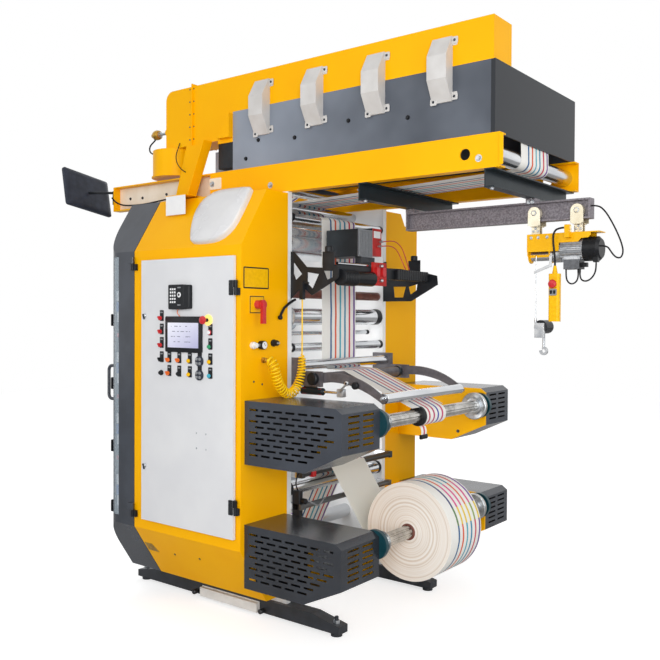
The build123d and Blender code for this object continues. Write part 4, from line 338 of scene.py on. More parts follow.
def ruled_paper(name, axis_x, axis_z, near_end, far_end, plain_zone=None):
    """Uncoated paper with ruled lines along its run: a line where the fraction of (Y - start) / pitch is small.
    On a roll's ends the ink gives way to pressed creases, noise along the distance from the roll's axis."""
    material, tree = new_material(name)
    place = add(tree, "TexCoord").outputs["Object"]
    each = add(tree, "SeparateXYZ", {0: place}).outputs
    wave = add(tree, "MapRange", {"Value": speckle(tree, 90, 1.0), "To Min": -LINE_WAVER,
                                   "To Max": LINE_WAVER}).outputs[0]
    across = add(tree, "Math", {0: each["Y"], 1: wave}, operation="ADD").outputs[0]
    step = add(tree, "MapRange", {"Value": across, "From Min": MIDDLE + LINE_START,
                                  "From Max": MIDDLE + LINE_START + LINE_COUNT * LINE_PITCH,
                                  "To Min": 0.0, "To Max": LINE_COUNT}, clamp=False).outputs[0]
    part = add(tree, "Math", {0: step}, operation="FRACT").outputs[0]
    line = add(tree, "Math", {0: part, 1: LINE_SHARE}, operation="LESS_THAN").outputs[0]
    middle = add(tree, "Math", {0: step, 1: LINE_COUNT / 2, 2: LINE_COUNT / 2}, operation="COMPARE").outputs[0]
    line = add(tree, "Math", {0: line, 1: middle}, operation="MULTIPLY").outputs[0]
    share = add(tree, "Math", {0: step, 1: LINE_COUNT}, operation="DIVIDE").outputs[0]
    inks = []
    for palette in (WEB_INKS, *(zone[0] for zone in INK_ZONES)):
        ramp = add(tree, "ValToRGB", {0: share})
        ramp.color_ramp.interpolation = "CONSTANT"
        for index, code in enumerate(palette):
            stop = ramp.color_ramp.elements[0] if index == 0 else ramp.color_ramp.elements.new(index / LINE_COUNT)
            stop.color = tint(code)
        ramp.color_ramp.elements[-1].color = tint(palette[-1])
        inks.append(ramp.outputs[0])
    ink = inks[0]
    for other, (_, low, high) in zip(inks[1:], INK_ZONES):
        ink = add(tree, "Mix", {0: inside_box(tree, low, high), 6: ink, 7: other}, data_type="RGBA").outputs[2]
    fibres = add(tree, "MapRange", {"Value": speckle(tree, 3.0), "From Min": 0.3, "From Max": 0.7}).outputs[0]
    stock = add(tree, "Mix", {0: fibres, 6: tint("F4F3EF"), 7: tint("ECEAE4")}, data_type="RGBA").outputs[2]
    if plain_zone:
        plain = inside_box(tree, *plain_zone)
        line = add(tree, "Mix", {0: plain, 2: line, 3: 0.0}).outputs[0]
        stock = add(tree, "Mix", {0: plain, 6: stock, 7: tint("DEDFD8")}, data_type="RGBA").outputs[2]
    colour = add(tree, "Mix", {0: line, 6: stock, 7: ink}, data_type="RGBA").outputs[2]
    if near_end is not None:
        body = inside_box(tree, (axis_x - ROLL_REACH, near_end + 1, axis_z - ROLL_REACH),
                          (axis_x + ROLL_REACH, far_end - 1, axis_z + ROLL_REACH))
        axis = (PLATE_FACE + axis_x * MM, 0.0, axis_z * MM)
        out = add(tree, "VectorMath", {0: place, 1: axis}, operation="SUBTRACT").outputs[0]
        out = add(tree, "VectorMath", {0: out, 1: (1.0, 0.0, 1.0)}, operation="MULTIPLY").outputs[0]
        out = add(tree, "VectorMath", {0: out}, operation="LENGTH").outputs["Value"]
        creases = add(tree, "TexNoise", {"W": out, "Scale": CREASES_PER_M, "Detail": 4.0},
                      noise_dimensions="1D").outputs["Fac"]
        lap = add(tree, "ValToRGB", {0: creases})
        for stop, spot, code in zip((lap.color_ramp.elements[0], lap.color_ramp.elements[1],
                                     lap.color_ramp.elements.new(0.5)), (0.38, 0.62, 0.47),
                                    ("DDD0C2", "F4EEE6", "EEE6DC")):
            stop.position = spot
            stop.color = tint(code)
        colour = add(tree, "Mix", {0: body, 6: lap.outputs[0], 7: colour}, data_type="RGBA").outputs[2]
    bump = add(tree, "Bump", {"Height": fibres, "Distance": 0.02 * MM, "Strength": 0.5})
    shader = add(tree, "BsdfPrincipled", {"Base Color": colour, "Roughness": 0.62, "Normal": bump.outputs[0],
                                          **SOFT_SHINE})
    add(tree, "OutputMaterial", {"Surface": shader.outputs[0]})
    return material


# The lit screen in millimetres, with the pitch and thickness of its rows of bars in metres.
SCREEN_LEFT, SCREEN_RIGHT, SCREEN_FOOT, SCREEN_TOP = -543, -293, 1562, 1702
MENU_CORNERS = ((-515, -930, 1575), (-345, -890, 1685))
ROW_PITCH, ROW_THICK = 0.0145, 0.0022


def screen_picture():
    """A lit panel: a pale ground that fades to lavender, with short grey bars in rows, as a menu of no words."""
    material, tree = new_material("lit_touch_screen_glass")
    each = add(tree, "SeparateXYZ", {0: add(tree, "TexCoord").outputs["Object"]}).outputs
    across = add(tree, "MapRange", {"Value": each["X"], "From Min": at(SCREEN_LEFT, 0, 0)[0],
                                    "From Max": at(SCREEN_RIGHT, 0, 0)[0]})
    along = add(tree, "MapRange", {"Value": each["Z"], "From Min": SCREEN_TOP * MM, "From Max": SCREEN_FOOT * MM})
    fade = add(tree, "Math", {0: across.outputs[0], 1: along.outputs[0]}, operation="ADD").outputs[0]
    fade = add(tree, "MapRange", {"Value": fade, "From Max": 2.0}).outputs[0]
    ground = add(tree, "Mix", {0: fade, 6: tint("E9EAF4"), 7: tint("A9A8CC")}, data_type="RGBA").outputs[2]
    row = add(tree, "Math", {0: each["Z"], 1: ROW_PITCH}, operation="PINGPONG").outputs[0]
    row = add(tree, "Math", {0: row, 1: ROW_THICK}, operation="LESS_THAN").outputs[0]
    words = add(tree, "TexNoise", {"Vector": add(tree, "TexCoord").outputs["Object"], "Scale": 60.0, "Detail": 0.0})
    words = add(tree, "Math", {0: words.outputs["Fac"], 1: 0.5}, operation="GREATER_THAN").outputs[0]
    mark = add(tree, "Math", {0: row, 1: words}, operation="MULTIPLY").outputs[0]
    field = inside_box(tree, *MENU_CORNERS)
    mark = add(tree, "Math", {0: mark, 1: field}, operation="MULTIPLY").outputs[0]
    colour = add(tree, "Mix", {0: mark, 6: ground, 7: tint("7B7F94")}, data_type="RGBA").outputs[2]
    shader = add(tree, "BsdfPrincipled", {"Base Color": colour, "Roughness": 0.15, "Emission Color": colour,
                                          "Emission Strength": 0.12})
    add(tree, "OutputMaterial", {"Surface": shader.outputs[0]})
    return material


clear_polycarbonate = clear_sheet()
# The reels' shafts, the Y where the paper of each ends, and where the web shows its plain back.
SHAFT_X, UNWIND_Z, REWIND_Z = 617, 552, 1185
ROLL_NEAR, ROLL_FAR = -190, 150
REEL_NEAR, REEL_FAR = -84, 126
PLAIN_SHEET = ((70, -300, 300), (900, 300, 900))
web_paper = ruled_paper("ruled_uncoated_web", 0, 0, None, None, PLAIN_SHEET)
roll_paper = ruled_paper("ruled_roll_with_pressed_ends", SHAFT_X, UNWIND_Z, ROLL_NEAR, ROLL_FAR)
reel_paper = ruled_paper("ruled_reel_with_pressed_ends", SHAFT_X, REWIND_Z, REEL_NEAR, REEL_FAR)
lit_screen = screen_picture()

NODE_FINISHES = {
    liner_enamel: ["frame_plates"], zinc_steel: ["frame_ties", "hoist_rope"],
    yellow_enamel: ["near_cabinet", "far_cabinet", "tunnel_rails", "left_rails", "hot_air_duct", "blower_drum",
                    "duct_struts", "arm_plates"],
    foot_finish: ["outriggers"], slate_enamel_with_painted_sheen_and_shade: ["dryer_hood"], pale_enamel: ["air_elbows"],
    channel_enamel: ["cross_channels"], galvanised_steel: ["hoist_beam"], web_paper: ["paper_web"],
    graphite_enamel_and_painted_shade: ["near_reel_guards", "far_reel_guards", "near_guard_frame", "far_guard_frame"],
    teal_enamel: ["shaft_collars"], arm_casting: ["pivot_bearings", "swing_arms"],
    black_enamel: ["camera_brackets", "hinge_brackets", "monitor_mount", "air_gun"],
    camera_finish: ["camera_unit"], white_plastic: ["shell_cover", "air_fittings"], deck_finish: ["print_decks"],
    hard_chrome: ["idle_rollers", "layon_roller", "web_roller"], switch_finish: ["main_switch"],
    door_finish: ["cabinet_door"], black_plastic: ["door_controls", "monitor"],
    clear_polycarbonate: ["near_guard_window", "far_guard_window"], red_plastic: ["switch_handle"],
    shaft_chrome: ["unwind_shaft", "rewind_shaft"], roll_paper: ["paper_roll"], reel_paper: ["rewind_roll"],
    brown_rubber: ["nip_roller"], hoist_finish: ["hoist_trolley"], motor_finish: ["hoist_motor"],
    yellow_plastic: ["pendant"], hook_finish: ["hook_block"],
}
for material, node_names in NODE_FINISHES.items():
    for node_name in node_names:
        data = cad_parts[node_name].data
        data.materials.clear()
        data.materials.append(material)


# Cords
def lay_line(name, points, radius_mm, material):
    """A round cord whose line is a quadratic spline with the route's points as its control points.
    The bevel is 1 m times the radius of a point, so that each point holds the cord's own radius."""
    curve = bpy.data.curves.new(name, "CURVE")
    curve.dimensions = "3D"
    curve.bevel_depth = 1.0
    curve.bevel_resolution = 4
    curve.resolution_u = 8
    spline = curve.splines.new("NURBS")
    spline.points.add(len(points) - 1)
    for control, point in zip(spline.points, points):
        control.co = (*at(*point), 1.0)
        control.radius = radius_mm * MM
    spline.order_u = 3
    spline.use_endpoint_u = True
    curve.materials.append(material)
    line = bpy.data.objects.new(name, curve)
    bpy.context.scene.collection.objects.link(line)
    return line


def line_places(line):
    """The points along a cord's spline, read from its mesh with no thickness."""
    line.data.bevel_depth = 0.0
    mesh = bpy.data.meshes.new_from_object(line)
    places = np.empty(len(mesh.vertices) * 3)
    mesh.vertices.foreach_get("co", places)
    bpy.data.meshes.remove(mesh)
    line.data.bevel_depth = 1.0
    return places.reshape(-1, 3)


def run_length(places):
    """The length of a run of points, each to the next."""
    return float(np.linalg.norm(np.diff(places, axis=0), axis=1).sum())


def hang_cord(name, points, radius_mm, body, material, node=None):
    """A cord laid on its route, and shown in place of its CAD tube where it has one."""
    cord = lay_line(name + "_line", points, radius_mm, material)
    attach(cord, body)
    if node:
        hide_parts(node)
    run_length(line_places(cord))


def lofted(rings):
    """A closed skin over rings of points, each joined to the next and round itself, with a flat cap at each end."""
    rings = np.asarray(rings, float)
    count, sides = rings.shape[:2]
    i, j = np.meshgrid(np.arange(count - 1), np.arange(sides), indexing="ij")
    after = (j + 1) % sides
    quads = np.stack([i * sides + j, i * sides + after, (i + 1) * sides + after, (i + 1) * sides + j], -1)
    caps = [list(range(sides))[::-1], list(range((count - 1) * sides, count * sides))]
    return rings.reshape(-1, 3), quads.reshape(-1, 4).tolist() + caps


def turned(profile, sides=24):
    """A profile of (radius, height) pairs turned about the height axis: (r cos t, r sin t, h)."""
    profile = np.asarray(profile, float)
    turn = np.linspace(0, 2 * np.pi, sides, endpoint=False)
    around = np.stack([np.cos(turn), np.sin(turn)], -1)
    heights = np.broadcast_to(profile[:, None, 1:], (len(profile), sides, 1))
    return lofted(np.concatenate([profile[:, None, :1] * around, heights], -1))


def stacked(outline, levels):
    """An outline moved in along its mitres by each level's inset and raised to its height, as one closed skin."""
    outline = np.asarray(outline, float)
    levels = np.asarray(levels, float)
    run = np.roll(outline, -1, 0) - outline
    run /= np.linalg.norm(run, axis=1, keepdims=True)
    inward = np.stack([-run[:, 1], run[:, 0]], -1)
    both = inward + np.roll(inward, 1, 0)
    mitre = both / np.maximum((both ** 2).sum(1, keepdims=True) / 2, 0.2)
    flat = outline + levels[:, None, :1] * mitre
    heights = np.broadcast_to(levels[:, None, 1:], (len(levels), len(outline), 1))
    return lofted(np.concatenate([flat, heights], -1))


def domed(outline, apex, levels):
    """An outline drawn in towards an apex, apex + s (p - apex), at each level's share s and height, as one skin."""
    outline, apex = np.asarray(outline, float), np.asarray(apex, float)
    levels = np.asarray(levels, float)
    flat = apex + levels[:, None, :1] * (outline - apex)
    heights = np.broadcast_to(levels[:, None, 1:], (len(levels), len(outline), 1))
    return lofted(np.concatenate([flat, heights], -1))


def rounded(width, height, radius, steps=4):
    """A rectangle about the origin whose corners are quarter circles, counter-clockwise."""
    turn = (np.arange(4)[:, None] * 90 + np.linspace(0, 90, steps)) * np.pi / 180
    corner = np.array([[1, 1], [-1, 1], [-1, -1], [1, -1]]) * [width / 2 - radius, height / 2 - radius]
    return (corner[:, None] + radius * np.stack([np.cos(turn), np.sin(turn)], -1)).reshape(-1, 2)


def softened(outline, times=2):
    """An outline with its corners cut: each side keeps its points at a quarter and three quarters."""
    outline = np.asarray(outline, float)
    for _ in range(times):
        after = np.roll(outline, -1, 0)
        outline = np.stack([0.75 * outline + 0.25 * after, 0.25 * outline + 0.75 * after], 1).reshape(-1, 2)
    return outline


def swept(points, radius, up=(0.0, 1.0, 0.0), sides=10):
    """A round section of one radius, or one for each point, carried along points at right angles to their run."""
    points = np.asarray(points, float)
    run = np.gradient(points, axis=0)
    run /= np.linalg.norm(run, axis=1, keepdims=True)
    side = np.cross(run, up)
    side /= np.linalg.norm(side, axis=1, keepdims=True)
    over = np.cross(run, side)
    turn = np.linspace(0, 2 * np.pi, sides, endpoint=False)[:, None]
    radii = np.broadcast_to(radius, len(points))[:, None, None]
    return lofted(points[:, None] + radii * (np.cos(turn) * side[:, None] + np.sin(turn) * over[:, None]))


# How the housing's upper bevel and its lower sill lean, as the Y and Z of a metre along them.
BEVEL_IN, BEVEL_UP = 0.535, 0.845
SILL_OUT, SILL_UP = 0.544, 0.839
# Along a surface's first flat axis, along its second, and along its height.
FACINGS = {
    "+X": ((0, 1, 0), (0, 0, 1), (1, 0, 0)), "-X": ((0, -1, 0), (0, 0, 1), (-1, 0, 0)),
    "+Y": ((-1, 0, 0), (0, 0, 1), (0, 1, 0)), "-Y": ((1, 0, 0), (0, 0, 1), (0, -1, 0)),
    "+Z": ((1, 0, 0), (0, 1, 0), (0, 0, 1)), "-Z": ((1, 0, 0), (0, -1, 0), (0, 0, -1)),
    "bevel": ((1, 0, 0), (0, BEVEL_IN, BEVEL_UP), (0, -BEVEL_UP, BEVEL_IN)),
    "sill": ((1, 0, 0), (0, -SILL_OUT, SILL_UP), (0, -SILL_UP, -SILL_OUT)),
}


def placed(surface, places, facing="+Z", turn=0.0):
    """A surface set down at each place, with its flat axes and its height along the facing's, turned in its plane."""
    points, faces = surface
    places = np.atleast_2d(np.asarray(places, float))
    cos, sin = math.cos(math.radians(turn)), math.sin(math.radians(turn))
    spin = np.array([[cos, sin, 0], [-sin, cos, 0], [0, 0, 1]])
    laid = np.asarray(points) @ spin @ np.array(FACINGS[facing], float)
    every = (places[:, None] + laid).reshape(-1, 3)
    return every, [[k * len(laid) + v for v in face] for k in range(len(places)) for face in faces]


SHARP_ANGLE = math.radians(35)


def make_piece(name, body, parts, replaced=()):
    """One object from surfaces in millimetres, each with its own finish, that rides on a body if one is named."""
    points, faces, finishes, numbers = [], [], [], []
    for (places, own_faces), material in parts:
        first = sum(len(some) for some in points)
        points.append(np.asarray(places, float))
        faces += [[first + v for v in face] for face in own_faces]
        if material not in finishes:
            finishes.append(material)
        numbers += [finishes.index(material)] * len(own_faces)
    mesh = bpy.data.meshes.new(name)
    mesh.from_pydata((np.concatenate(points) * MM + ORIGIN).tolist(), [], faces)
    for material in finishes:
        mesh.materials.append(material)
    mesh.polygons.foreach_set("material_index", numbers)
    mesh.shade_smooth()
    mesh.set_sharp_from_angle(angle=SHARP_ANGLE)
    piece = bpy.data.objects.new(name, mesh)
    bpy.context.scene.collection.objects.link(piece)
    if body:
        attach(piece, body)
    if replaced:
        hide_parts(*replaced)
    return piece


def flat_plate(width, height, thick, radius=3.0, edge=1.0):
    """A rounded plate with a broken edge."""
    return stacked(rounded(width, height, radius), [(0, 0), (0, thick - edge), (edge, thick)])


def bolt(radius, height, washer=1.35):
    """A six-sided head on its washer."""
    ring = turned([(radius * washer, 0), (radius * washer, 0.2 * height)])
    head = turned([(radius, 0.2 * height), (radius, 0.85 * height), (0.84 * radius, height)], 6)
    return np.concatenate([ring[0], head[0]]), ring[1] + [[len(ring[0]) + v for v in face] for face in head[1]]


def disc(material, profile, places, facing="+Z", sides=24, turn=0.0):
    """A turned part in one finish at each place."""
    return placed(turned(profile, sides), places, facing, turn), material


def slab(material, size, places, facing="+Z"):
    """A flat rounded plate in one finish at each place."""
    return placed(flat_plate(*size), places, facing), material


def block(material, size, levels, places, facing="+Z", turn=0.0):
    """A rounded oblong raised through levels of inset and height, in one finish at each place."""
    return placed(stacked(rounded(*size), levels), places, facing, turn), material


def bolts(material, size, places, facing):
    """Bolt heads in one finish at each place."""
    return placed(bolt(*size), places, facing), material


# Routes of the cords, in millimetres of the building frame.
PENDANT_ROUTE = [(1401, -68, 2001), (1401, -68, 2040), (1395, -69, 2084), (1390, -69, 2128), (1391, -68, 2166),
                 (1412, -68, 2190), (1452, -68, 2190)]
LEFT_LOOP_ROUTE = [(1440, -20, 1984), (1440, -20, 1952), (1444, -18, 1927), (1460, -12, 1909), (1481, -5, 1914),
                   (1495.5, 0, 1936), (1495.5, 0, 1966)]
RIGHT_LOOP_ROUTE = [(1504.5, 0, 1966), (1504.5, 0, 1942), (1520, -5, 1925), (1544, -13, 1922),
                    (1570, -21, 1934), (1590, -28, 1958), (1597, -30, 1986), (1597, -30, 2014)]
FEED_ROUTE = [(1563, -12, 2296), (1600, -12, 2296), (1634, -13, 2264), (1664, -15, 2216), (1692, -17, 2162),
              (1715, -19, 2108), (1727, -21, 2062), (1716, -22, 2030), (1690, -23, 2034), (1668, -24, 2062),
              (1648, -24, 2094), (1615, -24, 2094)]
COIL_ROUTE = [(30, -705, 1500), (62, -705, 1500), (84, -702, 1462), (89, -692, 1405), (89, -657, 1345),
              (90, -600, 1308), (92, -545, 1322), (96, -508, 1372), (99, -491, 1432), (100.5, -490, 1490),
              (100.5, -490, 1535)]
LINE_ROUTE = [(100.5, -490, 1535), (100.5, -490, 1620), (100.5, -490, 1740), (100.5, -490, 1835)]
RAIL_CABLE_ROUTE = [(-1578, -500, 2543), (-1552, -504, 2520), (-1480, -504, 2486), (-1380, -502, 2474),
                    (-1234, -502, 2472), (-1086, -502, 2482), (-980, -500, 2490), (-930, -500, 2496)]
BLOWER_CABLE_ROUTE = [(-1180, -404, 2795), (-1220, -404, 2812), (-1270, -404, 2818), (-1304, -404, 2840),
                      (-1300, -404, 2876), (-1262, -404, 2898), (-1240, -404, 2911), (-1236, -404, 2939),
                      (-1200, -404, 2939), (-1100, -404, 2939), (-1032, -404, 2939)]
DRUM_CABLE_ROUTE = [(-900, -499, 2830), (-896, -514, 2800), (-884, -548, 2740), (-868, -550, 2690),
                    (-846, -530, 2650), (-836, -506, 2640)]
CAMERA_CABLES = {
    "camera_cable_high": [(284, 42, 2188), (296, 60, 2190), (300, 110, 2198), (300, 172, 2192), (302, 224, 2162),
                          (310, 248, 2110), (326, 250, 2060), (341, 246, 2028)],
    "camera_cable_low": [(284, 26, 2160), (296, 46, 2162), (300, 92, 2166), (302, 146, 2156), (306, 184, 2124),
                         (316, 202, 2080), (341, 206, 2028)],
}
SENSOR_CABLE_ROUTE = [(40, -446, 745), (42, -470, 772), (60, -490, 820), (84, -488, 868), (96, -452, 884),
                      (94, -400, 872), (86, -360, 862)]
LOW_CABLE_ROUTE = [(62, -440, 690), (84, -430, 700), (108, -400, 676), (112, -350, 650), (100, -300, 668),
                   (84, -262, 682), (66, -230, 672)]
KEYPAD_WIRE_ROUTE = [(-462, -902, 1778), (-460, -912, 1768), (-455, -916, 1756), (-450, -912, 1746),
                     (-448, -904, 1738)]
# The coil's turns: radius, and radius at its top, which they narrow to past a share of its length.
COIL_TURN_MM = 25.0
COIL_TOP_TURN_MM = 18.0
COIL_NARROWS_AT = 0.6
COIL_TUBE_MM = 4.3
COIL_PITCH_MM = 17.0
COIL_LEAD_MM = 30.0
COIL_POINTS_A_TURN = 18
# Directions off the coil's run that its turns and its tube are laid out from.
COIL_ACROSS = (0.7071, -0.7071, 0.0)
TUBE_ACROSS = (0.3, -0.4, 0.866)
FEED_RADIUS = 4.0
ROPE_X, ROPE_Y, ROPE_TOP, ROPE_FOOT = 1282.5, -26.5, 2056, 1735
ROPE_RADIUS = 2.5
ROPE_RINGS = 40


def curly_hose():
    """The coiled hose: the route turned round itself, centre + R (cos t side + sin t over), with t by the length
    gone and R fading to nothing at both ends. Its points follow the route's own spline."""
    guide = lay_line("coil_guide", COIL_ROUTE, COIL_TUBE_MM, yellow_hose)
    places = (line_places(guide) - ORIGIN) / MM
    bpy.data.objects.remove(guide)
    gone = np.concatenate([[0], np.cumsum(np.linalg.norm(np.diff(places, axis=0), axis=1))])
    turns = round(gone[-1] / COIL_PITCH_MM)
    along = np.linspace(0, gone[-1], turns * COIL_POINTS_A_TURN + 1)
    centre = np.stack([np.interp(along, gone, places[:, axis]) for axis in range(3)], -1)
    run = np.gradient(centre, axis=0)
    run /= np.linalg.norm(run, axis=1, keepdims=True)
    side = np.cross(run, COIL_ACROSS)
    side /= np.linalg.norm(side, axis=1, keepdims=True)
    over = np.cross(run, side)
    fade = np.clip(np.minimum(along, gone[-1] - along) / COIL_LEAD_MM, 0, 1)
    widest = np.interp(along / gone[-1], (COIL_NARROWS_AT, 1.0), (COIL_TURN_MM, COIL_TOP_TURN_MM))
    reach = (widest * fade * fade * (3 - 2 * fade))[:, None]
    angle = (2 * np.pi * along / gone[-1] * turns)[:, None]
    helix = centre + reach * (np.cos(angle) * side + np.sin(angle) * over)
    hose = make_piece("air_hose_coil_line", "root",
                      [(swept(helix, COIL_TUBE_MM, TUBE_ACROSS, 8), yellow_hose)], ["air_hose_coil"])


def following_cable():
    """The supply cable as a tube along its spline, from the beam's end to the hoist."""
    guide = lay_line("feed_guide", FEED_ROUTE, FEED_RADIUS, black_rubber)
    path = line_places(guide)
    bpy.data.objects.remove(guide)
    tube = swept((path - ORIGIN) / MM, FEED_RADIUS)
    cable = make_piece("feed_cable_line", None, [(tube, black_rubber)], ["feed_cable"])
    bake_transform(cable)


def lifting_rope():
    """The hoist's wire rope as a tube of many rings, from its top in the drum down to the hook."""
    line = np.linspace((ROPE_X, ROPE_Y, ROPE_TOP), (ROPE_X, ROPE_Y, ROPE_FOOT), ROPE_RINGS)
    tube = swept(line, ROPE_RADIUS, sides=8)
    rope = make_piece("lifting_rope", None, [(tube, zinc_steel)], ["hoist_rope"])
    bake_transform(rope)


lifting_rope()
hang_cord("pendant_cable", PENDANT_ROUTE, 5, "hoist", black_rubber, "pendant_cable")
hang_cord("motor_cable_left", LEFT_LOOP_ROUTE, 4, "hoist", black_rubber, "motor_cable_left")
hang_cord("motor_cable_right", RIGHT_LOOP_ROUTE, 4, "hoist", black_rubber, "motor_cable_right")
following_cable()
curly_hose()
hang_cord("air_hose_line", LINE_ROUTE, 4, "root", yellow_hose, "air_hose_line")
hang_cord("rail_cable", RAIL_CABLE_ROUTE, 5, "root", black_rubber)
hang_cord("blower_cable", BLOWER_CABLE_ROUTE, 5, "root", black_rubber)
hang_cord("drum_cable", DRUM_CABLE_ROUTE, 3, "root", black_rubber)
hang_cord("sensor_cable", SENSOR_CABLE_ROUTE, 4, "root", black_rubber)
hang_cord("low_sensor_cable", LOW_CABLE_ROUTE, 4, "root", grey_plastic)
hang_cord("keypad_wire", KEYPAD_WIRE_ROUTE, 2.2, "control_door", orange_plastic)
for cable_name, route in CAMERA_CABLES.items():
    hang_cord(cable_name, route, 3.2, "root", red_cable)

# Control door. Its parts stand out from the door's face, with X and Z as in the building frame.
DOOR_FACE = -900
STOP_BUTTON = (-222, DOOR_FACE, 1718)
make_piece("door_touch_panel", "control_door", [
    block(black_plastic, (299, 201, 8), [(0, 0), (0, 7), (3, 9)], (-417, DOOR_FACE, 1637), "-Y"),
    slab(lit_screen, (250, 140, 1.2, 2, 0.4), (-418, DOOR_FACE - 8.6, 1632), "-Y"),
], ["door_controls"])
KEYPAD_TOP = DOOR_FACE - 27.5
key_places = [(x, KEYPAD_TOP, 1916 - 139 * v) for x in (-496.51, -479.21, -461.91)
              for v in (0.19, 0.32, 0.45, 0.58, 0.71)]
make_piece("door_keypad", "control_door", [
    block(black_plastic, (168, 134, 9), [(0, 0), (0, 22), (4, 26)], (-434, DOOR_FACE, 1846), "-Y"),
    block(black_plastic, (128, 139, 8), [(0, 0), (0, 25), (3, 28)], (-456, DOOR_FACE, 1846), "-Y"),
    slab(white_plastic, (11, 11, 2.5, 2, 0.8), key_places, "-Y"),
    disc(white_plastic, [(15, 0), (15, 1.2), (12, 2.2)], (-428, KEYPAD_TOP, 1858), "-Y"),
    disc(black_plastic, [(7, 0), (7, 3), (5, 4)], (-428, KEYPAD_TOP, 1858), "-Y"),
    slab(grey_plastic, (26, 7, 2, 2, 0.6), [(-428, KEYPAD_TOP, 1898), (-428, KEYPAD_TOP, 1801)], "-Y"),
])

# Caps of the push buttons and selectors, the left column and the two low rows that they stand in.
PUSH_CAP = turned([(11, 8), (11, 17), (9, 20)])
SELECTOR = turned([(12, 8), (12, 15), (11, 17)])
SELECTOR_BAR = stacked(rounded(9, 26, 4), [(0, 15), (0, 28), (2, 30)])
SELECTOR_TURN = 35
COLUMN_X, ROW_XS = -602, (-602, -537, -454, -368, -289, -206)
ROW_HIGH, ROW_LOW = 1491, 1415
PANEL_HIGH, PANEL_LOW = (ROW_XS[5], 1651), (ROW_XS[5], 1573)
selectors = {red_plastic: [(COLUMN_X, z) for z in (1727, 1650, 1573)], black_plastic: [(ROW_XS[0], ROW_HIGH)],
             orange_plastic: [(ROW_XS[1], ROW_HIGH), (ROW_XS[2], ROW_HIGH), (ROW_XS[1], ROW_LOW)]}
pushes = {yellow_plastic: [(ROW_XS[3], ROW_HIGH), (ROW_XS[5], ROW_HIGH), (ROW_XS[3], ROW_LOW)],
          cyan_plastic: [(ROW_XS[5], ROW_LOW)], black_plastic: [(ROW_XS[2], ROW_LOW), (ROW_XS[0], ROW_LOW)],
          white_plastic: [PANEL_HIGH], green_plastic: [PANEL_LOW]}
JOYSTICKS = [(ROW_XS[4], ROW_HIGH), (ROW_XS[4], ROW_LOW)]


def on_door(places):
    """Places on the door's face."""
    return [(x, DOOR_FACE, z) for x, z in places]


buttons = []
for caps, shape in ((selectors, SELECTOR), (pushes, PUSH_CAP)):
    for material, places in caps.items():
        buttons.append((placed(shape, on_door(places), "-Y"), material))
        if shape is SELECTOR:
            buttons.append((placed(SELECTOR_BAR, on_door(places), "-Y", SELECTOR_TURN), material))
        rims = [place for place in places if place != (ROW_XS[0], ROW_LOW)]
        holders = [(x, z + 15) for x, z in rims]
        buttons.append(disc(black_plastic, [(15, 2), (15, 9), (12.5, 11)], on_door(places), "-Y"))
        buttons.append(slab(black_plastic, (31, 62, 3.5, 4), on_door(holders), "-Y"))
        labels = [(x, z + 33) for x, z in rims]
        buttons.append(slab(grey_plastic, (20, 7, 4.2, 1, 0.3), on_door(labels), "-Y"))
buttons.append(disc(red_plastic, [(14, 3), (14, 13), (12, 15)], on_door([PANEL_HIGH]), "-Y"))
buttons.append(slab(black_plastic, (31, 40, 3.5, 4), on_door([(x, z + 32) for x, z in JOYSTICKS]), "-Y"))
buttons.append(disc(slate_plastic, [(29, 0), (29, 9), (25, 12)], on_door(JOYSTICKS), "-Y", 32))
lobes = [(x + 12 * u, z + 12 * v) for x, z in JOYSTICKS for u in (-1, 1) for v in (-1, 1)]
buttons.append(disc(grey_plastic, [(8.5, 10), (8.5, 16), (6, 18)], on_door(lobes), "-Y"))
make_piece("door_push_buttons", "control_door", buttons)
make_piece("door_stop_button", "control_door", [
    disc(lit_amber, [(31, 0), (31, 5), (27, 9), (12, 9)], STOP_BUTTON, "-Y", 32),
    disc(black_plastic, [(10, 8), (10, 38)], STOP_BUTTON, "-Y"),
    disc(red_plastic, [(12, 34), (20, 38), (23, 44), (21, 51), (13, 56)], STOP_BUTTON, "-Y", 32),
])
make_piece("door_latches", "control_door", [
    disc(zinc_steel, [(13, 0), (13, 5), (10, 8)], on_door([(-753, 1741), (-753, 866)]), "-Y"),
    block(black_plastic, (9, 34, 4), [(0, 7), (0, 11), (2, 13)], on_door([(-753, 1735), (-753, 860)]), "-Y", 20),
    disc(zinc_steel, [(5, 0), (5, 1), (3.6, 2)], on_door([(x, z) for x in (-315, -240) for z in (1093, 1009)]),
         "-Y", 12),
])
make_piece("door_hinge_leaves", "control_door", [
    block(black_enamel, (30, 80, 4), [(0, 0), (0, 5), (1.5, 7)], on_door([(-49, 718), (-49, 1892)]), "-Y"),
    disc(dark_steel, [(4.5, 6.5), (4.5, 8), (3.5, 9)],
         on_door([(-56, z + dz) for z in (718, 1892) for dz in (-26, 26)]), "-Y", 12),
])

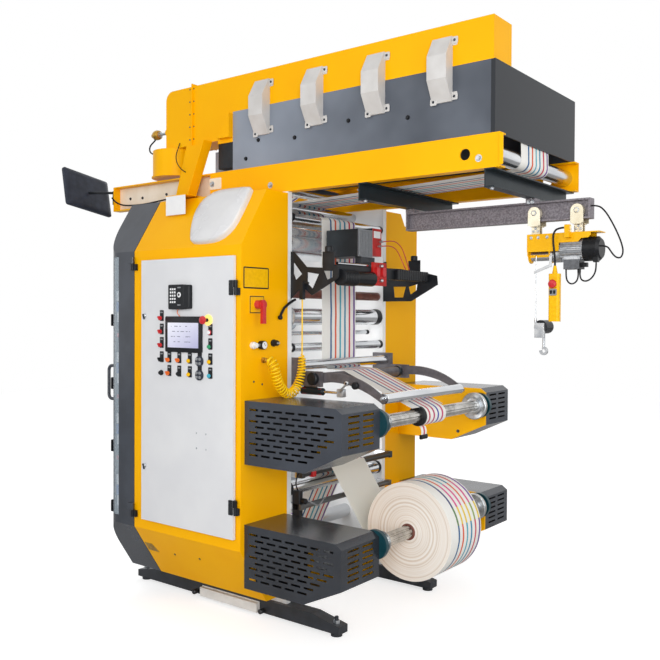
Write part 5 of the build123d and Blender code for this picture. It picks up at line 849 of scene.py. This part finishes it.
# Near housing
COVER_OUTLINE = [(-365, 18), (-232, 18), (-160, 35), (-110, 90), (-93, 160), (-93, 366), (-115, 388),
                 (-330, 392), (-410, 372), (-460, 320), (-472, 240), (-442, 130), (-395, 35)]
COVER_APEX = (-215, 150)
COVER_FOOT = (0, -CABINET_FACE / MM, 2122)
COVER_LEVELS = [(1, 0), (1, 20), (0.985, 28), (0.95, 34), (0.8, 40), (0.5, 46), (0.2, 49), (0.04, 50)]
make_piece("moulded_cover", "root", [
    (placed(domed(softened(COVER_OUTLINE, 1), COVER_APEX, COVER_LEVELS), COVER_FOOT, "bevel"), cover_plastic),
], ["shell_cover"])
SIGN, SMALL_SIGN = (0, -760, 1947), (6, -760, 1803)
make_piece("sign_plates", "root", [
    slab(black_plastic, (200, 116, 1.6, 6, 0.5), SIGN, "+X"),
    slab(yellow_plastic, (186, 102, 2.2, 3, 0.5), SIGN, "+X"),
    slab(black_plastic, (112, 92, 0.8, 3, 0.3), SMALL_SIGN, "+X"),
    slab(yellow_plastic, (103, 83, 1.4, 3, 0.3), SMALL_SIGN, "+X"),
    disc(dark_steel, [(6, 0), (6, 1), (4, 1.6)], [(0, -777, 1386), (0, -710, 1368)], "+X", 12),
])
GAUGE = (0, -724, 1583)
make_piece("air_fittings_set", "root", [
    disc(black_plastic, [(24, 0), (24, 27), (22, 31), (19, 31)], GAUGE, "+X", 32),
    disc(white_plastic, [(20, 30), (20, 31.6)], GAUGE, "+X", 32),
    block(dark_steel, (2.4, 22, 1), [(0, 31.5), (0, 32.6)], (0, -724, 1587), "+X", 40),
    disc(white_plastic, [(19, 0), (19, 18), (14, 20), (14, 34)], (0, -790, 1583), "+X", 20),
    slab(zinc_steel, (66, 16, 20, 3), (0, -757, 1583), "+X"),
    disc(black_plastic, [(20, 0), (20, 14), (16, 16), (16, 34), (13, 40)], (0, -624, 1592), "+X", 8),
    disc(zinc_steel, [(5, 38), (5, 44)], [(0, -630, 1592), (0, -618, 1592)], "+X", 12),
    disc(brass, [(17, 0), (17, 10), (12, 12), (12, 26), (8, 30)], (0, -705, 1500), "+X", 6),
], ["air_fittings"])
make_piece("sill_fittings", "root", [
    (placed(stacked([(-48, -30), (48, -30), (20, 34), (-48, 34)], [(0, 0), (1, 1.5)]), (-815, -790, 348), "sill"),
     brass),
    disc(dark_steel, [(7, 0), (7, 2), (5, 3)], [(-620, -783, 338), (-399, -794, 354)], "sill", 12),
])

# Rails, hood, duct and blower
BEAM_Y = -498
make_piece("rail_plates_and_painted_highlight", "root", [
    slab(cream_enamel, (99, 69, 5, 6), (-580, BEAM_Y, 2544), "-Y"),
    # The thin cream sheet along the left rail's near face is a painted highlight on the yellow.
    slab(cream_enamel, (930, 148, 1.2, 1, 0.3), (-1096, -445.6, 2530), "-Y"),
    slab(white_plastic, (167, 113, 4, 3), (-643, -760, 2390), "-Y"),
    slab(yellow_enamel, (175, 268, 4, 3), (-643, -630, 2446), "+Z"),
    block(yellow_enamel, (20, 150, 9), [(0, 0), (0, 6), (2, 8)], (1312, BEAM_Y, 2530), "-Y"),
])
make_piece("rail_bolts", "root", [
    bolts(zinc_steel, (12, 12, 1.5), [(-604, BEAM_Y - 5, 2543), (-134, BEAM_Y, 2494), (1194, BEAM_Y, 2498)], "-Y"),
    bolts(dark_steel, (7, 8), [(-1321, -447, 2527), (-1082, -447, 2530), (-1446, -447, 2531)], "-Y"),
    bolts(black_plastic, (9, 10),
          [(48, BEAM_Y, 2744), (-327, BEAM_Y, 2668), (-228, BEAM_Y, 2765), (422, BEAM_Y, 2785), (795, BEAM_Y, 2748)],
          "-Y"),
])
elbow_bolts = [(x + side, BEAM_Y - out, z) for x in (-194, 196, 602, 996) for side, out, z in
               ((-44, 14, 2797), (67, 4, 2812), (67, 4, 3084))]
make_piece("elbow_bolts", "root", [
    slab(pale_enamel, (36, 34, 3, 6), elbow_bolts, "-Y"),
    bolts(dark_steel, (5, 6), [(x, y - 3, z) for x, y, z in elbow_bolts], "-Y"),
])
duct_rivets = [(-790 + 18 * side, BEAM_Y, z) for side in (-1, 1) for z in range(2840, 3160, 78)]
make_piece("duct_fittings_and_shade_block", "root", [
    disc(dark_steel, [(5, 0), (5, 1.4), (3, 2.6)], duct_rivets, "-Y", 10),
    (placed(stacked([(-537, 2806), (-436, 2806), (-436, 2949), (-456, 2949)], [(0, 0), (0, 34)]),
            (0, BEAM_Y, 0), "-Y"), yellow_enamel),
    slab(yellow_enamel, (128, 176, 22, 4), (-500, -410, 2782), "+Z"),
    # The black block under the yellow ledge is painted shade, filling the dark gap between the strut and the hood.
    slab(black_enamel, (124, 168, 152, 4), (-500, -410, 2630), "+Z"),
])
SENSOR_ROOT = (-1029, -404, 2939)
make_piece("blower_sensor", "root", [
    disc(zinc_steel, [(9, 0), (9, 160), (20, 164), (20, 172)], SENSOR_ROOT, "-X", 12),
    disc(brass, [(18, 168), (28, 174), (32, 188), (32, 204), (27, 218), (16, 226), (14, 240)], SENSOR_ROOT, "-X", 20),
    disc(zinc_steel, [(13, 0), (13, 34)], (-1240, -404, 2911), "+Z", 8),
])

# Monitor
MONITOR_TURNS = ((8, "Z"), (-7, "X"), (-16, "Y"))
MONITOR_MIDDLE = (-1762, -563, 2588)
SHELL_LEVELS = [(0.98, -17), (1, -12), (1, 4), (0.94, 12), (0.8, 16)]
tilt = Matrix.Identity(3)
for degrees, axis in MONITOR_TURNS:
    tilt = tilt @ Matrix.Rotation(math.radians(degrees), 3, axis)
shell_points, shell_faces = placed(domed(rounded(408, 268, 14), (0, 0), SHELL_LEVELS), (0, 0, 0), "+X")
shell_points = shell_points @ np.array(tilt).T + MONITOR_MIDDLE
make_piece("monitor_shell", "monitor", [
    ((shell_points, shell_faces), slate_plastic),
    (swept([(-1752, -562, 2584), (-1725, -562, 2582), (-1690, -550, 2581), (-1640, -510, 2581), (-1600, -472, 2581),
            (-1588, -468, 2581)], 9.0, (0, 0, 1)), black_enamel),
    disc(black_enamel, [(15, -9), (17, -4), (17, 6), (13, 11)], (-1591, -468, 2581), "+Z", 20),
], ["monitor"])

# Camera
CAMERA_FACE = 260
heat_fins = [(CAMERA_FACE, y, 2170) for y in np.linspace(-168, -46, 9)]
chain_links = [(336, y, 1992) for y in np.linspace(110, 440, 14)]
tube_rings = [(330, y, 1956) for y in np.linspace(-436, -316, 9)]
make_piece("camera_fittings", "root", [
    slab(grey_plastic, (5, 148, 7, 1), heat_fins, "+X"),
    slab(white_plastic, (66, 40, 4, 3), (CAMERA_FACE, 12, 2228), "+X"),
    disc(zinc_steel, [(8, 0), (8, 14), (6, 16), (6, 25)], [(CAMERA_FACE, 42, 2188), (CAMERA_FACE, 26, 2160)], "+X",
         12),
    disc(hard_chrome, [(9, 0), (9, 300)], (312, -148, 2033), "-Y", 16),
    block(black_plastic, (23, 62, 6), [(0, 0), (0, 16), (4, 20)], chain_links, "+X"),
    disc(black_plastic, [(43.5, 0), (46, 2), (46, 7), (43.5, 9)], tube_rings, "-Y", 32),
    slab(red_plastic, (30, 52, 12, 4), [(345, -108, 2000), (345, -48, 2000)], "+X"),
    disc(zinc_steel, [(10, 0), (10, 16), (7, 20)], [(345, -78, 1950), (345, -78, 2034)], "+X", 12),
    disc(black_plastic, [(22, 0), (22, 26), (18, 30)], [(270, -468, 2096), (240, 464, 2101)], "+Z", 20),
])

# Hoist
WHEEL_Z = 2277.3
TROLLEY_XS = (1274, 1500)
neck_places = [(x + side, -17, z) for x in TROLLEY_XS for side, z in ((-12, 2186), (12, 2186), (0, 2200))]
make_piece("hoist_bolts", "hoist", [
    bolts(zinc_steel, (15, 11, 1.4), [(x, -36.3, WHEEL_Z) for x in TROLLEY_XS], "-Y"),
    bolts(zinc_steel, (15, 11, 1.4), [(x, 36.3, WHEEL_Z) for x in TROLLEY_XS], "+Y"),
    bolts(zinc_steel, (5, 7), neck_places, "-Y"),
    bolts(zinc_steel, (6, 7), [(1262, -45, 2150), (1300, -45, 2150), (1348, -45, 2150)], "-Y"),
])
make_piece("pendant_buttons", "hoist", [
    disc(red_plastic, [(14, 0), (14, 6), (20, 9), (22, 14), (19, 20), (10, 23)], (1401, -88, 1909), "-Y"),
    slab(grey_plastic, (38, 34, 6, 5), (1401, -88, 1868), "-Y"),
    slab(black_plastic, (12, 18, 9, 3), [(1392, -88, 1868), (1410, -88, 1868)], "-Y"),
])
channel_bolts = [(x, y, 2356) for x in (515, 1250) for y in (-470, -22, 22)]
make_piece("runway_bolts", "root", [
    bolts(zinc_steel, (9, 9, 1.4), channel_bolts, "-Z"),
    bolts(zinc_steel, (8, 9), [(1240, -31, 2338), (1260, -31, 2338)], "-Y"),
    (swept([(489, -504, 2410), (490, -460, 2408), (493, -250, 2409), (490, 0, 2407), (493, 250, 2409),
            (491, 440, 2408)], 3.0, (0, 0, 1)), zinc_steel),
])

# Reel stands
def shaft_rings(z):
    """The dished flange by a shaft's far collar and the ring by its near one."""
    return [
        disc(zinc_steel, [(84, 0), (84, 8), (80, 10), (58, 4), (52, 4), (50, 18), (40, 20)], (SHAFT_X, 574, z),
             "-Y", 40),
        disc(zinc_steel, [(58, 0), (58, 6), (54, 8)], (SHAFT_X, -451, z), "+Y", 32),
    ]


make_piece("reel_core_rings", "rewind", [
    disc(black_plastic, [(50, 0), (57, 3), (57, 18), (52, 22)], (SHAFT_X, REEL_NEAR, REWIND_Z), "-Y", 32),
    *shaft_rings(REWIND_Z),
])
make_piece("roll_core_rings", "unwind", [
    disc(brown_rubber, [(46, 0), (46, 3), (44, 4)], (SHAFT_X, ROLL_NEAR, UNWIND_Z), "-Y", 32),
    *shaft_rings(UNWIND_Z),
])
tail_run = np.array([(-10, -56.6), (0, -57), (9, -61), (15, -71), (19, -88), (17, -110), (15, -128)], float)
tail_side = np.concatenate([tail_run, (tail_run + (1.2, 0.3))[::-1]])
make_piece("reel_tail", "root", [
    (placed(stacked(tail_side, [(0, 0), (0, 56)]), (SHAFT_X, -30, REWIND_Z), "-Y"), web_paper),
    slab(black_plastic, (16, 26, 66, 4), (SHAFT_X + 16, -25, 1066), "-Y"),
])
arm_holes = [(622, 659, 1115), (458, 659, 1005), (622, 659, 482), (458, 659, 372)]
make_piece("arm_bolts", "root", [bolts(dark_steel, (8, 8), arm_holes, "-Y")])
CHUCK = (560, -496, 1085)
make_piece("chuck_lever", "root", [
    disc(channel_enamel, [(30, 0), (34, 4), (34, 26), (28, 30)], CHUCK, "+Y", 28),
    disc(zinc_steel, [(9, 30), (9, 74), (6, 78)], CHUCK, "+Y", 14),
    slab(black_enamel, (46, 70, 24, 8), (540, -520, 1075), "+Y"),
])
# Middle along X, height, length and rise of each black box inside a reel guard: painted shade, which darkens what the
# guard's slots show.
GUARD_SHADE_BOXES = [(215, 1180, 410, 180), (130, 1025, 240, 150), (215, 575, 410, 70), (100, 415, 180, 260)]
make_piece("reel_guard_shade_boxes_and_zinc_drum", "root", [
    block(black_plastic, (width, height, 14), [(0, 0), (0, 225), (8, 235)], (x, -542, z), "-Y")
    for x, z, width, height in GUARD_SHADE_BOXES
] + [
    disc(zinc_steel, [(74, 0), (74, 150), (66, 168), (30, 172)], (435, -542, 478), "-Y", 32),
])
PIVOT_CAP = [(34, 0), (36, 4), (36, 22), (30, 27)]
make_piece("swing_arm_caps", "swing", [
    disc(black_plastic, PIVOT_CAP, (165, -462, 1393), "-Y", 32),
    disc(black_plastic, [(18, 0), (20, 3), (20, 20), (15, 24)], (436, -432, 1366), "-Y", 24),
    disc(zinc_steel, [(9, 0), (9, 8), (7, 10)], (602, -432, 1304), "-Y", 6),
    disc(channel_enamel, PIVOT_CAP, (165, 400, 1393), "-Y", 32),
])
CYLINDER_Y, CYLINDER_Z = -450, 1322
CYLINDER_KNOB = (398, -467, 1378)
make_piece("arm_cylinder", "root", [
    disc(channel_enamel, [(20, 0), (21, 3), (21, 150), (18, 154)], (70, CYLINDER_Y, CYLINDER_Z), "+X", 24),
    disc(red_plastic, [(22, 0), (22, 26)], (80, CYLINDER_Y, CYLINDER_Z), "+X", 4, 45),
    disc(red_plastic, [(22, 0), (22, 22)], (196, CYLINDER_Y, CYLINDER_Z), "+X", 4, 45),
    disc(hard_chrome, [(7, 0), (7, 116)], (222, CYLINDER_Y, CYLINDER_Z), "+X", 14),
    slab(zinc_steel, (44, 46, 26, 6), (346, -437, CYLINDER_Z), "-Y"),
    (swept([(352, -470, 1330), (366, -472, 1346), (382, -472, 1362), (392, -472, 1370)], 5.5), zinc_steel),
    disc(zinc_steel, [(13, 0), (13, 9), (11, 10)], CYLINDER_KNOB, "-Y", 20),
    disc(black_plastic, [(6, 8), (6, 11)], CYLINDER_KNOB, "-Y", 16),
    slab(dark_steel, (90, 20, 14, 3), (130, -443, 1343), "-Y"),
])
BALL_R = 14
BALL_TURN = np.linspace(-90, 90, 9)[1:-1] * np.pi / 180
BALL = turned(np.stack([BALL_R * np.cos(BALL_TURN), BALL_R * np.sin(BALL_TURN)], -1), 16)
make_piece("brake_handle", "root", [
    (swept([(14, -448, 1836), (14, -466, 1830), (14, -505, 1812), (14, -544, 1787), (14, -568, 1756),
            (14, -576, 1738)], 7.5, (1, 0, 0)), black_rubber),
    (placed(BALL, (14, -577, 1734)), black_rubber),
])
# Radius of each roller whose ends show, with its X and Z.
END_ROLLERS = {26: (-21, 1560), 14: (-120, 1639), 25: (-25, 2310), 42: (-45, 745)}
make_piece("roller_end_caps", "root", [
    disc(black_plastic, [(radius + 0.8, 0), (radius + 0.8, 26), (radius - 2, 28)], (x, y, z), facing, 28)
    for radius, (x, z) in END_ROLLERS.items() for y, facing in ((461, "-Y"), (-461, "+Y"))])
make_piece("web_roller_flange", "web_turn", [
    disc(black_plastic, [(51, 0), (51, 52), (48, 54)], (-45, 452, 1739), "-Y", 36),
    disc(zinc_steel, [(56, 0), (64, 3), (64, 10), (54, 14)], (-45, -460, 1739), "+Y", 40),
])
# Each block of a deck's ink pump behind the clear pane: its place over the deck, its size and its colour.
DECK_PARTS = [((-1078, -834, 46), (26, 18, 60), blue_plastic), ((-1074, -834, -18), (22, 16, 60), white_plastic),
              ((-1080, -836, -80), (20, 16, 56), black_plastic), ((-1078, -834, 112), (24, 16, 60), white_plastic),
              ((-1079, -836, -112), (18, 14, 26), red_plastic), ((-1079, -836, 178), (18, 14, 40), black_plastic)]
DECK_HEIGHTS = (1719, 1343, 967, 591)
make_piece("deck_pumps", "root", [
    slab(material, (wide, deep, tall, 4), (x, y, deck + low), "+Z")
    for (x, y, low), (wide, deep, tall), material in DECK_PARTS
    for deck in DECK_HEIGHTS])
make_piece("web_sensors", "root", [
    block(red_plastic, (36, 56, 6), [(0, 0), (0, 24), (4, 28)], (78, -352, 846), "-Y"),
    block(black_plastic, (44, 22, 4), [(0, 0), (0, 20), (3, 22)], (90, -330, 868), "-Y"),
    block(black_enamel, (56, 150, 8), [(0, 0), (0, 26), (4, 30)], (34, -433, 672), "-Y"),
    disc(black_plastic, [(16, 0), (16, 30), (12, 34)], (62, -440, 690), "+X", 20),
])

# Deck guards and feet
guard_catches = [(-1146, -817, z) for z in (1713, 1321, 933, 558)]
make_piece("guard_catches", "near_guard", [
    block(black_plastic, (30, 74, 6), [(0, 0), (0, 10), (3, 14)], guard_catches, "-X"),
    disc(red_plastic, [(9, 12), (9, 18), (6, 21)], [(x, y, z - 14) for x, y, z in guard_catches], "-X", 16),
    disc(orange_plastic, [(20, 0), (23, 4), (22, 16), (14, 24)], (-1146, -765, 375), "-X", 24),
])
jack_places = [(x, y, 96) for x in (-1230, 345) for y in (-480.5, 480.5)]
make_piece("jack_nuts", "root", [
    disc(zinc_steel, [(20, -30), (20, -14), (18, -12)], jack_places, "+Z", 6),
    disc(dark_steel, [(11, -10), (11, 8), (9, 10)], jack_places, "+Z", 16),
    disc(dark_steel, [(15, 0), (15, 30), (12, 34)], [(-700, -530, 40), (-150, -530, 40)], "-Y", 16),
])

# Floor
FLOOR_HALF = 14.0
CAMERA_LIFT = 0.66
floor_mesh = bpy.data.meshes.new("floor")
floor_mesh.from_pydata([(-FLOOR_HALF, -FLOOR_HALF, 0), (FLOOR_HALF, -FLOOR_HALF, 0), (FLOOR_HALF, FLOOR_HALF, 0),
                        (-FLOOR_HALF, FLOOR_HALF, 0)], [], [(0, 1, 2, 3)])
floor = bpy.data.objects.new("floor", floor_mesh)
bpy.context.scene.collection.objects.link(floor)


def floor_paint():
    """Pale screed, lightly mottled, which the camera sees lifted towards white so that only the shadow shows."""
    material, tree = new_material("pale_smooth_screed")
    mottle = speckle(tree, 900)
    colour = add(tree, "Mix", {0: mottle, 6: tint("CDCDCD"), 7: tint("C9C9C9")}, data_type="RGBA").outputs[2]
    body = add(tree, "BsdfPrincipled", {"Base Color": colour, "Roughness": 0.8, **SOFT_SHINE})
    seen = add(tree, "LightPath").outputs["Is Camera Ray"]
    lift = add(tree, "Math", {0: seen, 1: CAMERA_LIFT}, operation="MULTIPLY")
    glow = add(tree, "Emission", {"Color": tint("FFFFFF"), "Strength": lift.outputs[0]})
    both = add(tree, "AddShader", {0: body.outputs[0], 1: glow.outputs[0]})
    add(tree, "OutputMaterial", {"Surface": both.outputs[0]})
    return material


floor_mesh.materials.append(floor_paint())
